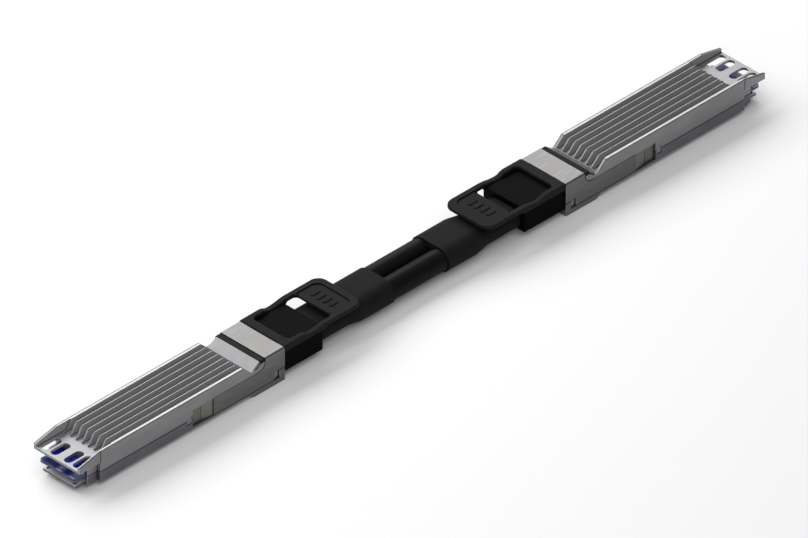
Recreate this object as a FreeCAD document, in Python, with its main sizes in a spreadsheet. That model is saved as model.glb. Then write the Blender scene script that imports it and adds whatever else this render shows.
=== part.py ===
import FreeCAD, Part
import math
import os
import types

import Sketcher

# Direct attach copper cable: two finned pluggable modules joined by two round cables.
#
# Millimetres. X runs along the cable, Y across it, and Z up from the plane that the feet rest on.
# The origin is midway between the modules. Every piece of a module is drawn with the nose
# towards +X, the shells' rear faces at X = 0 and the feet's underside at Z = 0, and is then
# placed at its end of the cable. Heights are given from the shells' underside, which lies
# foot_drop above the feet's: up(height) turns such a height into a Z.

SIZES = [
    ("rear_face", 69.8, "middle of the cable to a module's rear face"),
    # Outline shared by both shells
    ("shell_width", 22.58, "width of a module"),
    ("shell_length", 90.0, "rear face to the body's front face"),
    ("shell_height", 13.0, "underside to the fins' top"),
    ("wall_thick", 1.2, "side and front walls of the shells"),
    ("fit_gap", 0.1, "clearance between neighbouring pieces"),
    ("skirt_line", 0.7, "height where the top shell's skirt and the slider's arms begin"),
    ("seam_height", 4.47, "height of the seam ahead of the latch pocket"),
    # Bottom shell
    ("foot_drop", 1.6, "depth of the foot under the underside"),
    ("foot_length", 15.0, "flat part of the foot"),
    ("foot_ramp", 2.8, "sloped front of the foot"),
    ("floor_thick", 1.3, "floor of the bottom shell"),
    ("well_length", 14.0, "lowered floor under the cable ends"),
    ("well_floor", 0.9, "height of that lowered floor"),
    ("stop_length", 2.6, "stop tab along the module"),
    ("stop_height", 3.8, "height of the stop tab's top"),
    # Nose
    ("nose_length", 4.8, "narrow nose ahead of the front face"),
    ("nose_inset", 1.63, "how much narrower the nose is on each side"),
    ("nose_wall", 1.0, "side walls of the nose"),
    ("nose_seam", 4.1, "seam height on the nose"),
    ("nose_top", 6.76, "height of the nose's side walls"),
    ("lip_width", 15.8, "lip under the card"),
    ("lip_reach", 9.4, "front face to the lip's edge"),
    ("lip_thick", 1.16, "lip and nose floor"),
    ("plate_reach", 10.4, "front face to the tip of the ears and plate"),
    ("plate_thick", 1.15, "nose plate"),
    ("slot_length", 8.4, "slots in the nose plate"),
    ("slot_back", 1.1, "tip to the slots' ends"),
    ("slot_width", 3.4, "width of the plate's slots"),
    ("slot_pitch_inner", 6.66, "across the inner pair of slots"),
    ("slot_pitch_outer", 15.4, "across the outer pair of slots"),
    ("ear_thick", 1.0, "ears beside the nose plate"),
    ("ear_tip", 10.7, "height of the ears' tips"),
    # Top shell
    ("deck_height", 9.4, "deck that the fins stand on"),
    ("ceiling", 7.5, "underside of the deck"),
    ("well_ceiling", 8.6, "ceiling over the cable ends"),
    ("shoulder_height", 11.9, "top of the rear shoulder"),
    ("shoulder_foot", 15.5, "rear face to the foot of the shoulder's slope"),
    ("shoulder_chamfer", 0.9, "bevel of the slope's side edges"),
    ("fin_start", 16.4, "rear face to the fins' foot"),
    ("fin_rise", 3.9, "length of the fins' sloped rear ends"),
    ("fin_end", 86.0, "rear face to the fins' front foot"),
    ("fin_fall", 2.2, "length of the fins' sloped front ends"),
    ("outer_fin", 1.3, "width of the two outer fins"),
    ("inner_fin", 0.55, "width of the six inner fins"),
    ("channel_sink", 0.9, "depth of the channels under the deck"),
    ("channel_end", 87.7, "rear face to the channels' front ends"),
    ("channel_bevel", 0.7, "bevelled corners of those ends"),
    ("key_start", 0.4, "latch pocket to the key"),
    ("key_length", 2.2, "key along the module"),
    ("key_low", 2.7, "height of the key's lower end"),
    ("key_high", 6.0, "height of the key's upper end"),
    ("key_sink", 0.12, "depth of the key's face"),
    # Release slider
    ("sheet_thick", 0.5, "slider's sheet"),
    ("arm_gap", 0.15, "between the arms and the top shell"),
    ("bend_radius", 0.8, "outer radius of the slider's bends"),
    ("bridge_length", 9.6, "slider's bridge along the module"),
    ("bridge_height", 12.2, "height of the bridge's top"),
    ("arm_length", 35.1, "rear face to the arms' front ends"),
    ("arm_top", 7.9, "height of the arms' upper edges"),
    ("arm_fillet", 3.0, "fillet between bridge and arm"),
    ("travel", 2.3, "release travel towards the cable"),
    ("tongue_width", 14.0, "slider's tongue inside the pull tab"),
    ("tongue_length", 3.0, "length of that tongue"),
    ("ear_low", 3.1, "lower edge of the spring ear"),
    ("ear_high", 5.8, "upper edge of the spring ear"),
    ("ear_depth", 2.4, "spring ear, inwards from the arm"),
    # Latch pocket
    ("pocket_length", 10.0, "latch pocket ahead of the arm"),
    ("pocket_depth", 1.0, "deep part of the latch pocket"),
    ("pocket_ramp", 5.2, "length of the pocket's ramp"),
    ("pocket_lip", 0.3, "depth of the ramp at the arm's end"),
    # Return springs
    ("spring_length", 9.6, "spring at rest"),
    ("spring_mean", 0.9, "coil radius to the wire's middle"),
    ("spring_wire", 0.36, "wire diameter"),
    ("spring_turns", 4.0, "turns of the coil"),
    ("spring_room", 0.25, "clearance round the coil"),
    # Gasket
    ("gasket_length", 2.25, "gasket along the module"),
    ("gasket_top", 12.0, "height of the gasket's top"),
    ("gasket_thick", 0.8, "gasket on top of the shell"),
    ("gasket_low", 10.9, "height of the gasket's side ends"),
    # Paddle card
    ("card_rear", 38.0, "rear face to the card's rear edge"),
    ("card_reach", 10.2, "front face to the card's front edge"),
    ("card_width", 18.0, "card at the nose"),
    ("card_body_width", 18.6, "card inside the shells"),
    ("card_thick", 1.0, "card"),
    ("card_low", 3.9, "height of the card's underside"),
    ("card_chamfer", 0.8, "card's front corners"),
    ("pad_count", 30.0, "contacts on each face of the card"),
    ("pad_pitch", 0.58, "contacts across the card"),
    ("pad_width", 0.36, "width of a contact"),
    ("pad_length", 3.4, "length of a contact"),
    ("pad_back", 0.5, "card's edge to the contacts"),
    ("pad_thick", 0.06, "contact over the card"),
    # Housing screw and its bosses
    ("screw_place", 66.0, "rear face to the screw"),
    ("screw_diameter", 1.6, "screw shank"),
    ("screw_head", 2.8, "screw head diameter"),
    ("screw_sink", 0.05, "head under the shell's face"),
    ("screw_top", 7.0, "height that the screw reaches"),
    ("boss_length", 4.4, "screw's bosses along the module"),
    ("boss_width", 3.6, "screw's bosses across the module"),
    # Rear block
    ("block_length", 19.8, "rear block along the cable"),
    ("block_width", 21.2, "rear block"),
    ("block_low", 0.8, "height of the block's underside"),
    ("ledge_height", 9.8, "ledges under the tab's rails"),
    ("plateau_width", 17.4, "raised middle of the block"),
    ("plateau_height", 11.0, "height of the raised middle"),
    ("plug_length", 1.8, "block's plug inside the shells"),
    ("block_chamfer", 0.5, "bevel of the block's edges"),
    # Pull tab
    ("tab_length", 39.0, "pull tab along the cable"),
    ("tab_width", 22.6, "pull tab"),
    ("tab_height", 12.6, "height of the tab's front"),
    ("tab_grip_height", 12.4, "height of the tab's grip end"),
    ("tab_low", 10.0, "height of the rails' underside over the block"),
    ("tab_rear_thick", 1.56, "tab's grip end"),
    ("rail_width", 2.35, "side rails"),
    ("front_rim", 4.0, "rim over the slider's tongue"),
    ("rear_rim", 2.9, "rim behind the grip"),
    ("opening_length", 21.5, "finger opening"),
    ("opening_corner", 1.8, "corners of the finger opening"),
    ("grip_corner", 3.1, "corners of the grip panel"),
    ("tab_corner", 4.1, "outer rear corners of the tab"),
    ("grip_sink", 0.4, "grip panel under the tab's rims"),
    ("dip_start", 9.0, "rear face to the dip in the rails"),
    ("dip_fall", 4.5, "dip's falling length"),
    ("dip_rise", 8.5, "dip's rising length"),
    ("dip_height", 11.5, "height of the rails at the dip"),
    ("rib_count", 4.0, "grip ribs"),
    ("rib_pitch", 3.0, "grip ribs across the panel"),
    ("rib_width", 1.1, "a grip rib"),
    ("rib_length", 4.0, "a grip rib along the cable"),
    ("rib_height", 0.3, "a grip rib over the panel"),
    # Cables
    ("cable_height", 4.7, "height of the cables' axes"),
    ("cable_spacing", 9.1, "between the cables' axes"),
    ("cable_diameter", 8.8, "cable over its jacket"),
    ("core_diameter", 6.4, "cable over its braid"),
    ("bond_gap", 0.05, "mould allowance round cable and core"),
    ("jacket_end", 42.5, "rear face to the jackets' cut ends"),
    ("core_end", 7.0, "rear face to the braids' cut ends"),
    # Strain relief
    ("neck_width", 16.9, "neck of the strain relief"),
    ("neck_height", 8.4, "neck's height"),
    ("neck_flat", 8.6, "neck's flat top and bottom"),
    ("neck_end", 35.4, "rear face to the end of the neck"),
    ("collar_width", 18.9, "collar round the cables"),
    ("collar_height", 10.3, "collar's height"),
    ("collar_flat", 9.0, "collar's flat top and bottom"),
    ("collar_start", 41.3, "rear face to the collar"),
    ("collar_end", 56.5, "rear face to the collar's mouth"),
    # Crimp rings and twinax pairs
    ("ring_start", 2.2, "rear face to the crimp rings"),
    ("ring_length", 4.4, "crimp rings"),
    ("ring_wall", 0.4, "wall of a crimp ring"),
    ("pair_width", 1.4, "insulated wire pair"),
    ("pair_thick", 0.7, "thickness of a pair"),
    ("pair_pitch", 1.6, "pairs across a row"),
    ("pair_inner", 1.4, "middle to the innermost pair"),
    ("pair_land", 3.0, "length soldered to the card"),
    ("pair_rise", 0.4, "rise of a pair from card to braid"),
]

LEFT, RIGHT = 1, -1
CLEAR = 1.0  # how far a cut runs past the material
CHANNELS = 7  # between the eight fins
COIL_SIDES = 8  # straight steps in one turn of a spring
HALF_ROW = 4  # wire pairs of one cable on one face of the card
NEAR = 1e-3  # an edge this close to a plane or a place lies on it
ROUND_TURN = math.radians(71.6)  # how far a round side goes up and down from the level of its axis
SIDEWAYS = FreeCAD.Rotation(FreeCAD.Vector(0, 1, 0), 90)  # turns a round piece's axis to +X


class Size:
    """A length, kept as its value and as the sheet formula that gives it."""

    def __init__(self, value, formula):
        self.value = value
        self.formula = formula

    def __add__(self, other):
        other = as_size(other)
        return Size(self.value + other.value, f"({self.formula} + {other.formula})")

    def __radd__(self, other):
        return as_size(other) + self

    def __sub__(self, other):
        other = as_size(other)
        return Size(self.value - other.value, f"({self.formula} - {other.formula})")

    def __rsub__(self, other):
        return as_size(other) - self

    def __mul__(self, other):
        other = as_size(other)
        return Size(self.value * other.value, f"({self.formula} * {other.formula})")

    def __rmul__(self, other):
        return as_size(other) * self

    def __truediv__(self, other):
        other = as_size(other)
        return Size(self.value / other.value, f"({self.formula} / {other.formula})")

    def __neg__(self):
        return Size(-self.value, f"(-1 * {self.formula})")


def as_size(number):
    if isinstance(number, Size):
        return number
    return Size(float(number), f"{float(number):.6f}")


def up(height):
    """The Z of a height above the shells' underside."""
    return s.foot_drop + height


def bind(obj, path, size):
    """Ties a property of an object to the sheet."""
    obj.setExpression(path, as_size(size).formula)


# Outlines

def rectangle(x0, y0, x1, y1):
    return [(x0, y0), (x1, y0), (x1, y1), (x0, y1)]


def slot(x0, x1, y, width):
    """A slot along the sketch's first axis, with round ends."""
    r = width / 2
    return [
        (x0 + r, y - r),
        (x1 - r, y - r),
        (x1 - r, y + r, x1 - r, y, LEFT),
        (x0 + r, y + r),
        (x0 + r, y - r, x0 + r, y, LEFT),
    ]


def circle(x, y, diameter):
    return ("circle", x, y, diameter / 2)


def mirrored(outline):
    """The same outline with its second coordinate negated."""
    if outline[0] == "circle":
        return ("circle", outline[1], -as_size(outline[2]), outline[3])
    flipped = []
    for corner in outline:
        if len(corner) == 2:
            flipped.append((corner[0], -as_size(corner[1])))
        else:
            x, y, cx, cy, turn = corner
            flipped.append((x, -as_size(y), cx, -as_size(cy), -turn))
    return flipped


def both_sides(outline):
    return [outline, mirrored(outline)]


def add_driven(sketch, kind, geometry, point, size):
    """Places one coordinate of a point, or a radius, by the sheet."""
    size = as_size(size)
    if kind == "Radius":
        constraint = Sketcher.Constraint(kind, geometry, size.value)
    else:
        constraint = Sketcher.Constraint(kind, -1, 1, geometry, point, size.value)
    index = sketch.addConstraint(constraint)
    bind(sketch, f"Constraints[{index}]", size)


def draw_circle(sketch, outline):
    _, x, y, radius = outline
    centre = FreeCAD.Vector(as_size(x).value, as_size(y).value, 0)
    up_axis = FreeCAD.Vector(0, 0, 1)
    index = sketch.addGeometry(Part.Circle(centre, up_axis, as_size(radius).value), False)
    add_driven(sketch, "DistanceX", index, 3, x)
    add_driven(sketch, "DistanceY", index, 3, y)
    add_driven(sketch, "Radius", index, 0, radius)


def arc_between(start, end, centre, turn):
    first, last = (start, end) if turn == LEFT else (end, start)
    around = Part.Circle(centre, FreeCAD.Vector(0, 0, 1), (start - centre).Length)
    angles = [math.atan2(p.y - centre.y, p.x - centre.x) for p in (first, last)]
    return Part.ArcOfCircle(around, angles[0], angles[1])


def draw(sketch, outline):
    """Draws a closed outline. A corner is (x, y), or where an arc leads to it
    (x, y, centre x, centre y, LEFT or RIGHT), and every coordinate is tied to the sheet."""
    if outline[0] == "circle":
        draw_circle(sketch, outline)
        return
    # An outline that ends on an arc repeats its first corner there.
    closed_by_arc = len(outline[-1]) == 5 and as_size(outline[-1][0]).value == as_size(
        outline[0][0]
    ).value and as_size(outline[-1][1]).value == as_size(outline[0][1]).value
    corners = [outline[-1], *outline[1:-1]] if closed_by_arc else outline
    points = [FreeCAD.Vector(as_size(c[0]).value, as_size(c[1]).value, 0) for c in corners]
    first = sketch.GeometryCount
    arrivals = []
    departures = []
    for i, corner in enumerate(corners):
        start, end = points[i - 1], points[i]
        if len(corner) == 2:
            edge = Part.LineSegment(start, end)
            turn = LEFT
        else:
            centre = FreeCAD.Vector(as_size(corner[2]).value, as_size(corner[3]).value, 0)
            turn = corner[4]
            edge = arc_between(start, end, centre, turn)
        sketch.addGeometry(edge, False)
        arrivals.append(2 if turn == LEFT else 1)
        departures.append(1 if turn == LEFT else 2)
    count = len(corners)
    for i, corner in enumerate(corners):
        after = (i + 1) % count
        joint = Sketcher.Constraint(
            "Coincident", first + i, arrivals[i], first + after, departures[after]
        )
        sketch.addConstraint(joint)
        add_driven(sketch, "DistanceX", first + i, arrivals[i], corner[0])
        add_driven(sketch, "DistanceY", first + i, arrivals[i], corner[1])
        if len(corner) == 5:
            chord = points[i] - points[i - 1]
            if abs(chord.x) <= abs(chord.y):
                add_driven(sketch, "DistanceX", first + i, 3, corner[2])
            else:
                add_driven(sketch, "DistanceY", first + i, 3, corner[3])


# Pieces

def place(obj, end):
    """Puts a piece that was drawn nose towards +X at its end of the cable."""
    obj.Placement = FreeCAD.Placement(
        FreeCAD.Vector(end.sign * s.rear_face.value, 0, 0),
        FreeCAD.Rotation(FreeCAD.Vector(0, 0, 1), end.turned),
    )
    bind(obj, ".Placement.Base.x", end.sign * s.rear_face)


class Piece:
    """One cast, moulded or folded piece, made as one body by steps that add or cut."""

    def __init__(self, name, end):
        self.name = name + end.suffix
        self.body = doc.addObject("PartDesign::Body", self.name)
        self.body.Label = self.name
        self.volume = 0.0
        place(self.body, end)
        finished.append(self.body)

    def sketch(self, step, plane, offset, outlines):
        sketch = self.body.newObject("Sketcher::SketchObject", f"{self.name}_{step}_sketch")
        origin_plane = next(
            f for f in self.body.Origin.OriginFeatures if f.Role == plane + "_Plane"
        )
        sketch.AttachmentSupport = (origin_plane, [""])
        sketch.MapMode = "FlatFace"
        bind(sketch, ".AttachmentOffset.Base.z", offset)
        for outline in outlines:
            draw(sketch, outline)
        return sketch

    def settle(self, feature, grows):
        """Recomputes and makes sure that the step added or cut something."""
        doc.recompute()
        volume = feature.Shape.Volume
        if (volume > self.volume + 1e-6) != grows or abs(volume - self.volume) < 1e-6:
            raise RuntimeError(f"{feature.Name} went from {self.volume} to {volume}")
        self.volume = volume
        self.tip = feature

    def pad(self, step, plane, outlines, low, high):
        """Adds the outlines' prism between two places on the plane's own axis."""
        # The XZ plane faces -Y, so there the prism starts at its high side.
        offset = -as_size(high) if plane == "XZ" else as_size(low)
        feature = self.body.newObject("PartDesign::Pad", f"{self.name}_{step}")
        feature.Profile = self.sketch(step, plane, offset, outlines)
        bind(feature, "Length", as_size(high) - low)
        self.settle(feature, True)

    def cut(self, step, plane, outlines, low, high):
        """Cuts the outlines' prism between two places on the plane's own axis."""
        offset = -as_size(low) if plane == "XZ" else as_size(high)
        feature = self.body.newObject("PartDesign::Pocket", f"{self.name}_{step}")
        feature.Profile = self.sketch(step, plane, offset, outlines)
        bind(feature, "Length", as_size(high) - low)
        self.settle(feature, False)

    def loft(self, step, plane, sections):
        """Joins the outlines that stand at successive places by flat-sided walls."""
        sketches = [
            self.sketch(f"{step}_{i}", plane, place_on_axis, [outline])
            for i, (place_on_axis, outline) in enumerate(sections)
        ]
        feature = self.body.newObject("PartDesign::AdditiveLoft", f"{self.name}_{step}")
        feature.Profile = sketches[0]
        feature.Sections = sketches[1:]
        feature.Ruled = True
        self.settle(feature, True)

    def dress(self, kind, step, size, choose):
        """Rounds or bevels the edges that choose picks."""
        edges = [f"Edge{i}" for i, e in enumerate(self.tip.Shape.Edges, 1) if choose(e)]
        feature = self.body.newObject(f"PartDesign::{kind}", f"{self.name}_{step}")
        feature.Base = (self.tip, edges)
        bind(feature, "Radius" if kind == "Fillet" else "Size", size)
        doc.recompute()
        self.volume = feature.Shape.Volume
        self.tip = feature


def primitive(kind, name, sizes, at):
    """A plain solid with its sizes and place tied to the sheet."""
    obj = doc.addObject("Part::" + kind, name)
    if kind == "Cylinder":
        obj.Placement.Rotation = SIDEWAYS
    for key, size in sizes.items():
        bind(obj, key, size)
    for axis, size in zip("xyz", at):
        bind(obj, ".Placement.Base." + axis, size)
    return obj


def group(name, end, members):
    """Several like solids in one node."""
    obj = doc.addObject("Part::Compound", name + end.suffix)
    obj.Label = name + end.suffix
    obj.Links = members
    place(obj, end)
    finished.append(obj)


def combine(kind, name, base, tool):
    obj = doc.addObject("Part::" + kind, name)
    obj.Base = base
    obj.Tool = tool
    return obj


# Shared places, worked out from the sizes

def shared_places():
    p = types.SimpleNamespace()
    p.half = s.shell_width / 2
    p.recess = s.sheet_thick + s.arm_gap
    p.skirt_outer = p.half - p.recess
    p.skirt_inner = p.skirt_outer - s.wall_thick
    p.inner = p.half - s.wall_thick
    p.arm_end = s.arm_length + s.fit_gap
    p.pocket_end = s.arm_length + s.pocket_length
    p.cavity_end = s.shell_length - s.wall_thick
    p.nose_end = s.shell_length + s.nose_length
    p.nose_half = p.half - s.nose_inset
    p.tip = s.shell_length + s.plate_reach
    p.card_high = s.card_low + s.card_thick
    p.ring_half = s.core_diameter / 2 + s.ring_wall + s.bond_gap
    p.spring_out = s.spring_mean + s.spring_wire / 2
    p.channel_in = p.skirt_outer - 2 * p.spring_out - s.spring_room
    p.spring_y = p.channel_in + s.spring_room / 2 + p.spring_out
    p.spring_z = (s.ear_low + s.ear_high) / 2
    p.channel_low = s.ear_low - s.fit_gap
    p.channel_high = s.ear_high + s.fit_gap
    p.ear_x = s.arm_length - s.sheet_thick
    p.spring_seat = p.ear_x - s.spring_length
    p.gasket_start = s.bridge_length + s.fit_gap
    p.gasket_end = p.gasket_start + s.gasket_length
    p.gasket_seat = s.gasket_top - s.gasket_thick
    p.screw_flare = (s.screw_head - s.screw_diameter) / 2
    p.cable_y = s.cable_spacing / 2
    return p


def card_slot():
    """The card's way through the front wall and between the nose's side walls."""
    reach = s.card_width / 2 + s.bond_gap
    return [rectangle(p.cavity_end - CLEAR, -reach, p.nose_end + CLEAR, reach)]


def ring_bores():
    """Six-sided seats for the crimp rings, each with a corner towards either side."""
    half = p.ring_half + s.bond_gap
    side = half / math.sqrt(3)
    y, z = p.cable_y, up(s.cable_height)
    return both_sides_across([
        (y + 2 * side, z),
        (y + side, z + half),
        (y - side, z + half),
        (y - 2 * side, z),
        (y - side, z - half),
        (y + side, z - half),
    ])


def both_sides_across(outline):
    """An outline on the YZ plane and its mirror image across the module."""
    if outline[0] == "circle":
        return [outline, ("circle", -as_size(outline[1]), outline[2], outline[3])]
    return [outline, [(-as_size(c[0]), c[1]) for c in outline]]


def screw_circle(diameter):
    return [circle(s.screw_place, 0, diameter)]


def boss_outline(gap):
    """The screw's boss, with a clearance round it."""
    reach_x = s.boss_length / 2 + gap
    reach_y = s.boss_width / 2 + gap
    return [rectangle(s.screw_place - reach_x, -reach_y, s.screw_place + reach_x, reach_y)]


def bottom_shell(end):
    piece = Piece("bottom_shell", end)
    side = [
        (0, 0),
        (s.foot_length, 0),
        (s.foot_length + s.foot_ramp, up(0)),
        (s.shell_length, up(0)),
        (s.shell_length, up(s.seam_height)),
        (p.pocket_end, up(s.seam_height)),
        (p.pocket_end, up(s.skirt_line)),
        (0, up(s.skirt_line)),
    ]
    piece.pad("side", "XZ", [side], -p.half, p.half)
    cavity = rectangle(p.pocket_end, -p.inner, p.cavity_end, p.inner)
    piece.cut("cavity", "XY", [cavity], up(s.floor_thick), up(s.seam_height))
    lap = p.skirt_inner - s.fit_gap
    well = rectangle(0, -lap, s.well_length, lap)
    piece.pad("well", "XY", [well], up(s.skirt_line), up(s.well_floor))
    floor = rectangle(s.well_length, -lap, p.pocket_end, lap)
    piece.pad("floor", "XY", [floor], up(s.skirt_line), up(s.floor_thick))
    saddle = rectangle(s.ring_start, -lap, s.ring_start + s.ring_length, lap)
    piece.pad("saddle", "XY", [saddle], up(s.well_floor), up(s.cable_height - s.bond_gap))
    ring_end = s.ring_start + s.ring_length
    piece.cut("ring_seats", "YZ", ring_bores(), s.ring_start - CLEAR, ring_end + CLEAR)
    stop = rectangle(0, p.skirt_outer + s.bond_gap, s.stop_length, p.half)
    piece.pad("stops", "XY", both_sides(stop), up(s.skirt_line), up(s.stop_height))

    nose = rectangle(s.shell_length, -p.nose_half, p.nose_end, p.nose_half)
    piece.pad("nose", "XY", [nose], up(0), up(s.nose_seam))
    hollow = p.nose_half - s.nose_wall
    nose_room = rectangle(s.shell_length, -hollow, p.nose_end + CLEAR, hollow)
    piece.cut("nose_room", "XY", [nose_room], up(s.lip_thick), up(s.nose_seam))
    lip_end = s.shell_length + s.lip_reach
    lip = rectangle(p.nose_end, -s.lip_width / 2, lip_end, s.lip_width / 2)
    piece.pad("lip", "XY", [lip], up(0), up(s.lip_thick))
    piece.cut("card_slot", "XY", card_slot(), up(s.card_low), up(s.seam_height))

    key_x = p.pocket_end + s.key_start
    notch = rectangle(
        key_x - s.bond_gap,
        up(s.key_low - s.bond_gap),
        key_x + s.key_length + s.bond_gap,
        up(s.seam_height + CLEAR),
    )
    piece.cut("key_notch", "XZ", [notch], -p.half - CLEAR, p.half + CLEAR)

    piece.pad("boss", "XY", boss_outline(0), up(s.floor_thick), up(s.seam_height))
    shank = screw_circle(s.screw_diameter + 2 * s.fit_gap)
    piece.cut("screw_hole", "XY", shank, up(0), up(s.seam_height))
    underside = up(0).value

    def hole_rim(edge):
        box = edge.BoundBox
        middle = abs(box.Center.x - s.screw_place.value) < NEAR
        return middle and box.ZLength < NEAR and abs(box.ZMin - underside) < NEAR

    piece.dress("Chamfer", "countersink", p.screw_flare, hole_rim)


def slider_side(gap):
    """The upper edge of bridge and arm, from the arm's front end back and up, gap outside it."""
    centre_x = s.bridge_length + s.arm_fillet
    centre_z = up(s.arm_top + s.arm_fillet)
    return [
        (centre_x, up(s.arm_top + gap)),
        (s.bridge_length + gap, centre_z, centre_x, centre_z, RIGHT),
    ]


def bend_relief(height):
    """What is cut from the top shell's corner at a height, under a bent strip."""
    relief = s.bend_radius - s.sheet_thick
    return [
        (p.skirt_outer - relief, up(height)),
        (p.skirt_outer, up(height - relief)),
        (p.skirt_outer + CLEAR, up(height - relief)),
        (p.skirt_outer + CLEAR, up(height + CLEAR)),
        (p.skirt_outer - relief, up(height + CLEAR)),
    ]


def trough(y, half):
    """A channel between two fins, its front corners bevelled."""
    bevel = s.channel_bevel
    return [
        (s.fin_start, y - half),
        (s.channel_end - bevel, y - half),
        (s.channel_end, y - half + bevel),
        (s.channel_end, y + half - bevel),
        (s.channel_end - bevel, y + half),
        (s.fin_start, y + half),
    ]


def top_shell(end):
    piece = Piece("top_shell", end)
    bridge_seat = s.bridge_height - s.sheet_thick - s.fit_gap
    side = [
        (0, up(s.skirt_line)),
        (p.pocket_end, up(s.skirt_line)),
        (p.pocket_end, up(s.seam_height)),
        (s.shell_length, up(s.seam_height)),
        (s.shell_length, up(s.deck_height)),
        (s.fin_end, up(s.deck_height)),
        (s.fin_end - s.fin_fall, up(s.shell_height)),
        (s.fin_start + s.fin_rise, up(s.shell_height)),
        (s.fin_start, up(s.deck_height)),
        (s.shoulder_foot, up(s.deck_height)),
        (p.gasket_end, up(s.shoulder_height)),
        (p.gasket_end, up(p.gasket_seat)),
        (p.gasket_start, up(p.gasket_seat)),
        (p.gasket_start, up(bridge_seat)),
        (0, up(bridge_seat)),
    ]
    piece.pad("side", "XZ", [side], -p.half, p.half)

    # The slope between gasket and fins has bevelled side edges.
    slope_low, slope_high = up(s.deck_height).value, up(s.shoulder_height).value

    def on_slope(edge):
        box = edge.BoundBox
        return (
            box.YLength < NEAR
            and box.XMin > p.gasket_end.value - NEAR
            and box.XMax < s.shoulder_foot.value + NEAR
            and box.ZMin > slope_low - NEAR
            and box.ZLength > (slope_high - slope_low) / 2
            and box.XLength > NEAR
        )

    piece.dress("Chamfer", "slope_bevels", s.shoulder_chamfer, on_slope)

    # Ears, nose plate and the side walls of the nose
    plate_low = s.deck_height - s.plate_thick
    ear = [
        (s.fin_end - s.fin_fall, up(s.deck_height)),
        (s.shell_length, up(s.deck_height)),
        (s.shell_length, up(plate_low)),
        (p.tip, up(plate_low)),
        (p.tip, up(s.ear_tip)),
        (s.shell_length, up(s.shell_height)),
        (s.fin_end - s.fin_fall, up(s.shell_height)),
    ]
    piece.pad("far_ear", "XZ", [ear], p.half - s.ear_thick, p.half)
    piece.pad("near_ear", "XZ", [ear], -p.half, s.ear_thick - p.half)
    plate = rectangle(s.shell_length, -p.half, p.tip, p.half)
    piece.pad("nose_plate", "XY", [plate], up(plate_low), up(s.deck_height))
    slot_end = p.tip - s.slot_back
    slots = [
        outline
        for pitch in (s.slot_pitch_inner, s.slot_pitch_outer)
        for outline in both_sides(
            slot(slot_end - s.slot_length, slot_end, pitch / 2, s.slot_width)
        )
    ]
    piece.cut("plate_slots", "XY", slots, up(plate_low), up(s.deck_height))
    hollow = p.nose_half - s.nose_wall
    wall = rectangle(s.shell_length, hollow, p.nose_end, p.nose_half)
    piece.pad("nose_walls", "XY", both_sides(wall), up(s.nose_seam), up(s.nose_top))

    # Inside: the cable well, the wiring space and the card space
    well = rectangle(-CLEAR, -p.skirt_inner, s.well_length, p.skirt_inner)
    piece.cut("well", "XY", [well], up(s.skirt_line), up(s.well_ceiling))
    wiring = rectangle(s.well_length, -p.skirt_inner, p.pocket_end, p.skirt_inner)
    piece.cut("wiring_room", "XY", [wiring], up(s.skirt_line), up(s.ceiling))
    cavity = rectangle(p.pocket_end, -p.inner, p.cavity_end, p.inner)
    piece.cut("cavity", "XY", [cavity], up(s.seam_height), up(s.ceiling))
    piece.cut("card_slot", "XY", card_slot(), up(s.nose_seam), up(p.card_high + s.bond_gap))
    saddle = rectangle(
        s.ring_start, -p.skirt_inner, s.ring_start + s.ring_length, p.skirt_inner
    )
    saddle_low = s.cable_height + s.bond_gap
    piece.pad("saddle", "XY", [saddle], up(saddle_low), up(s.well_ceiling))
    ring_end = s.ring_start + s.ring_length
    piece.cut("ring_seats", "YZ", ring_bores(), s.ring_start - CLEAR, ring_end)

    # Boxes for the return springs, open to the arms
    box_wall = s.wall_thick
    box = rectangle(
        p.spring_seat - box_wall,
        p.channel_in - box_wall,
        p.arm_end + box_wall,
        p.skirt_inner,
    )
    piece.pad("spring_boxes", "XY", both_sides(box), up(s.floor_thick + s.fit_gap), up(s.ceiling))
    channel = rectangle(p.spring_seat, up(p.channel_low), p.arm_end, up(p.channel_high))
    piece.cut("far_spring_channel", "XZ", [channel], p.channel_in, p.half + CLEAR)
    piece.cut("near_spring_channel", "XZ", [channel], -p.half - CLEAR, -p.channel_in)

    # Outside: the slider's seat and the latch pocket
    seat = [
        (-CLEAR, up(0)),
        (p.arm_end, up(0)),
        (p.arm_end, up(s.arm_top + s.fit_gap)),
        *slider_side(s.fit_gap),
        (s.bridge_length + s.fit_gap, up(s.shell_height + CLEAR)),
        (-CLEAR, up(s.shell_height + CLEAR)),
    ]
    piece.cut("far_arm_seat", "XZ", [seat], p.skirt_outer, p.half + CLEAR)
    piece.cut("near_arm_seat", "XZ", [seat], -p.half - CLEAR, -p.skirt_outer)
    band = rectangle(
        p.gasket_start, up(s.gasket_low), p.gasket_end, up(s.shell_height + CLEAR)
    )
    piece.cut("far_gasket_seat", "XZ", [band], p.skirt_outer, p.half + CLEAR)
    piece.cut("near_gasket_seat", "XZ", [band], -p.half - CLEAR, -p.skirt_outer)

    # The shell's corners are cut back where the bends of slider and gasket pass.
    bridge_corner = both_sides_across(bend_relief(bridge_seat))
    piece.cut("bridge_relief", "YZ", bridge_corner, -CLEAR, p.gasket_start)
    gasket_corner = both_sides_across(bend_relief(p.gasket_seat))
    piece.cut("gasket_relief", "YZ", gasket_corner, p.gasket_start, p.gasket_end)
    fold = p.pocket_end - s.pocket_length + s.pocket_ramp
    pocket = [
        (p.arm_end, p.half + CLEAR),
        (p.arm_end, p.half - s.pocket_lip),
        (fold, p.half - s.pocket_depth),
        (p.pocket_end, p.half - s.pocket_depth),
        (p.pocket_end, p.half + CLEAR),
    ]
    piece.cut("latch_pockets", "XY", both_sides(pocket), up(0), up(s.arm_top))

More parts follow.
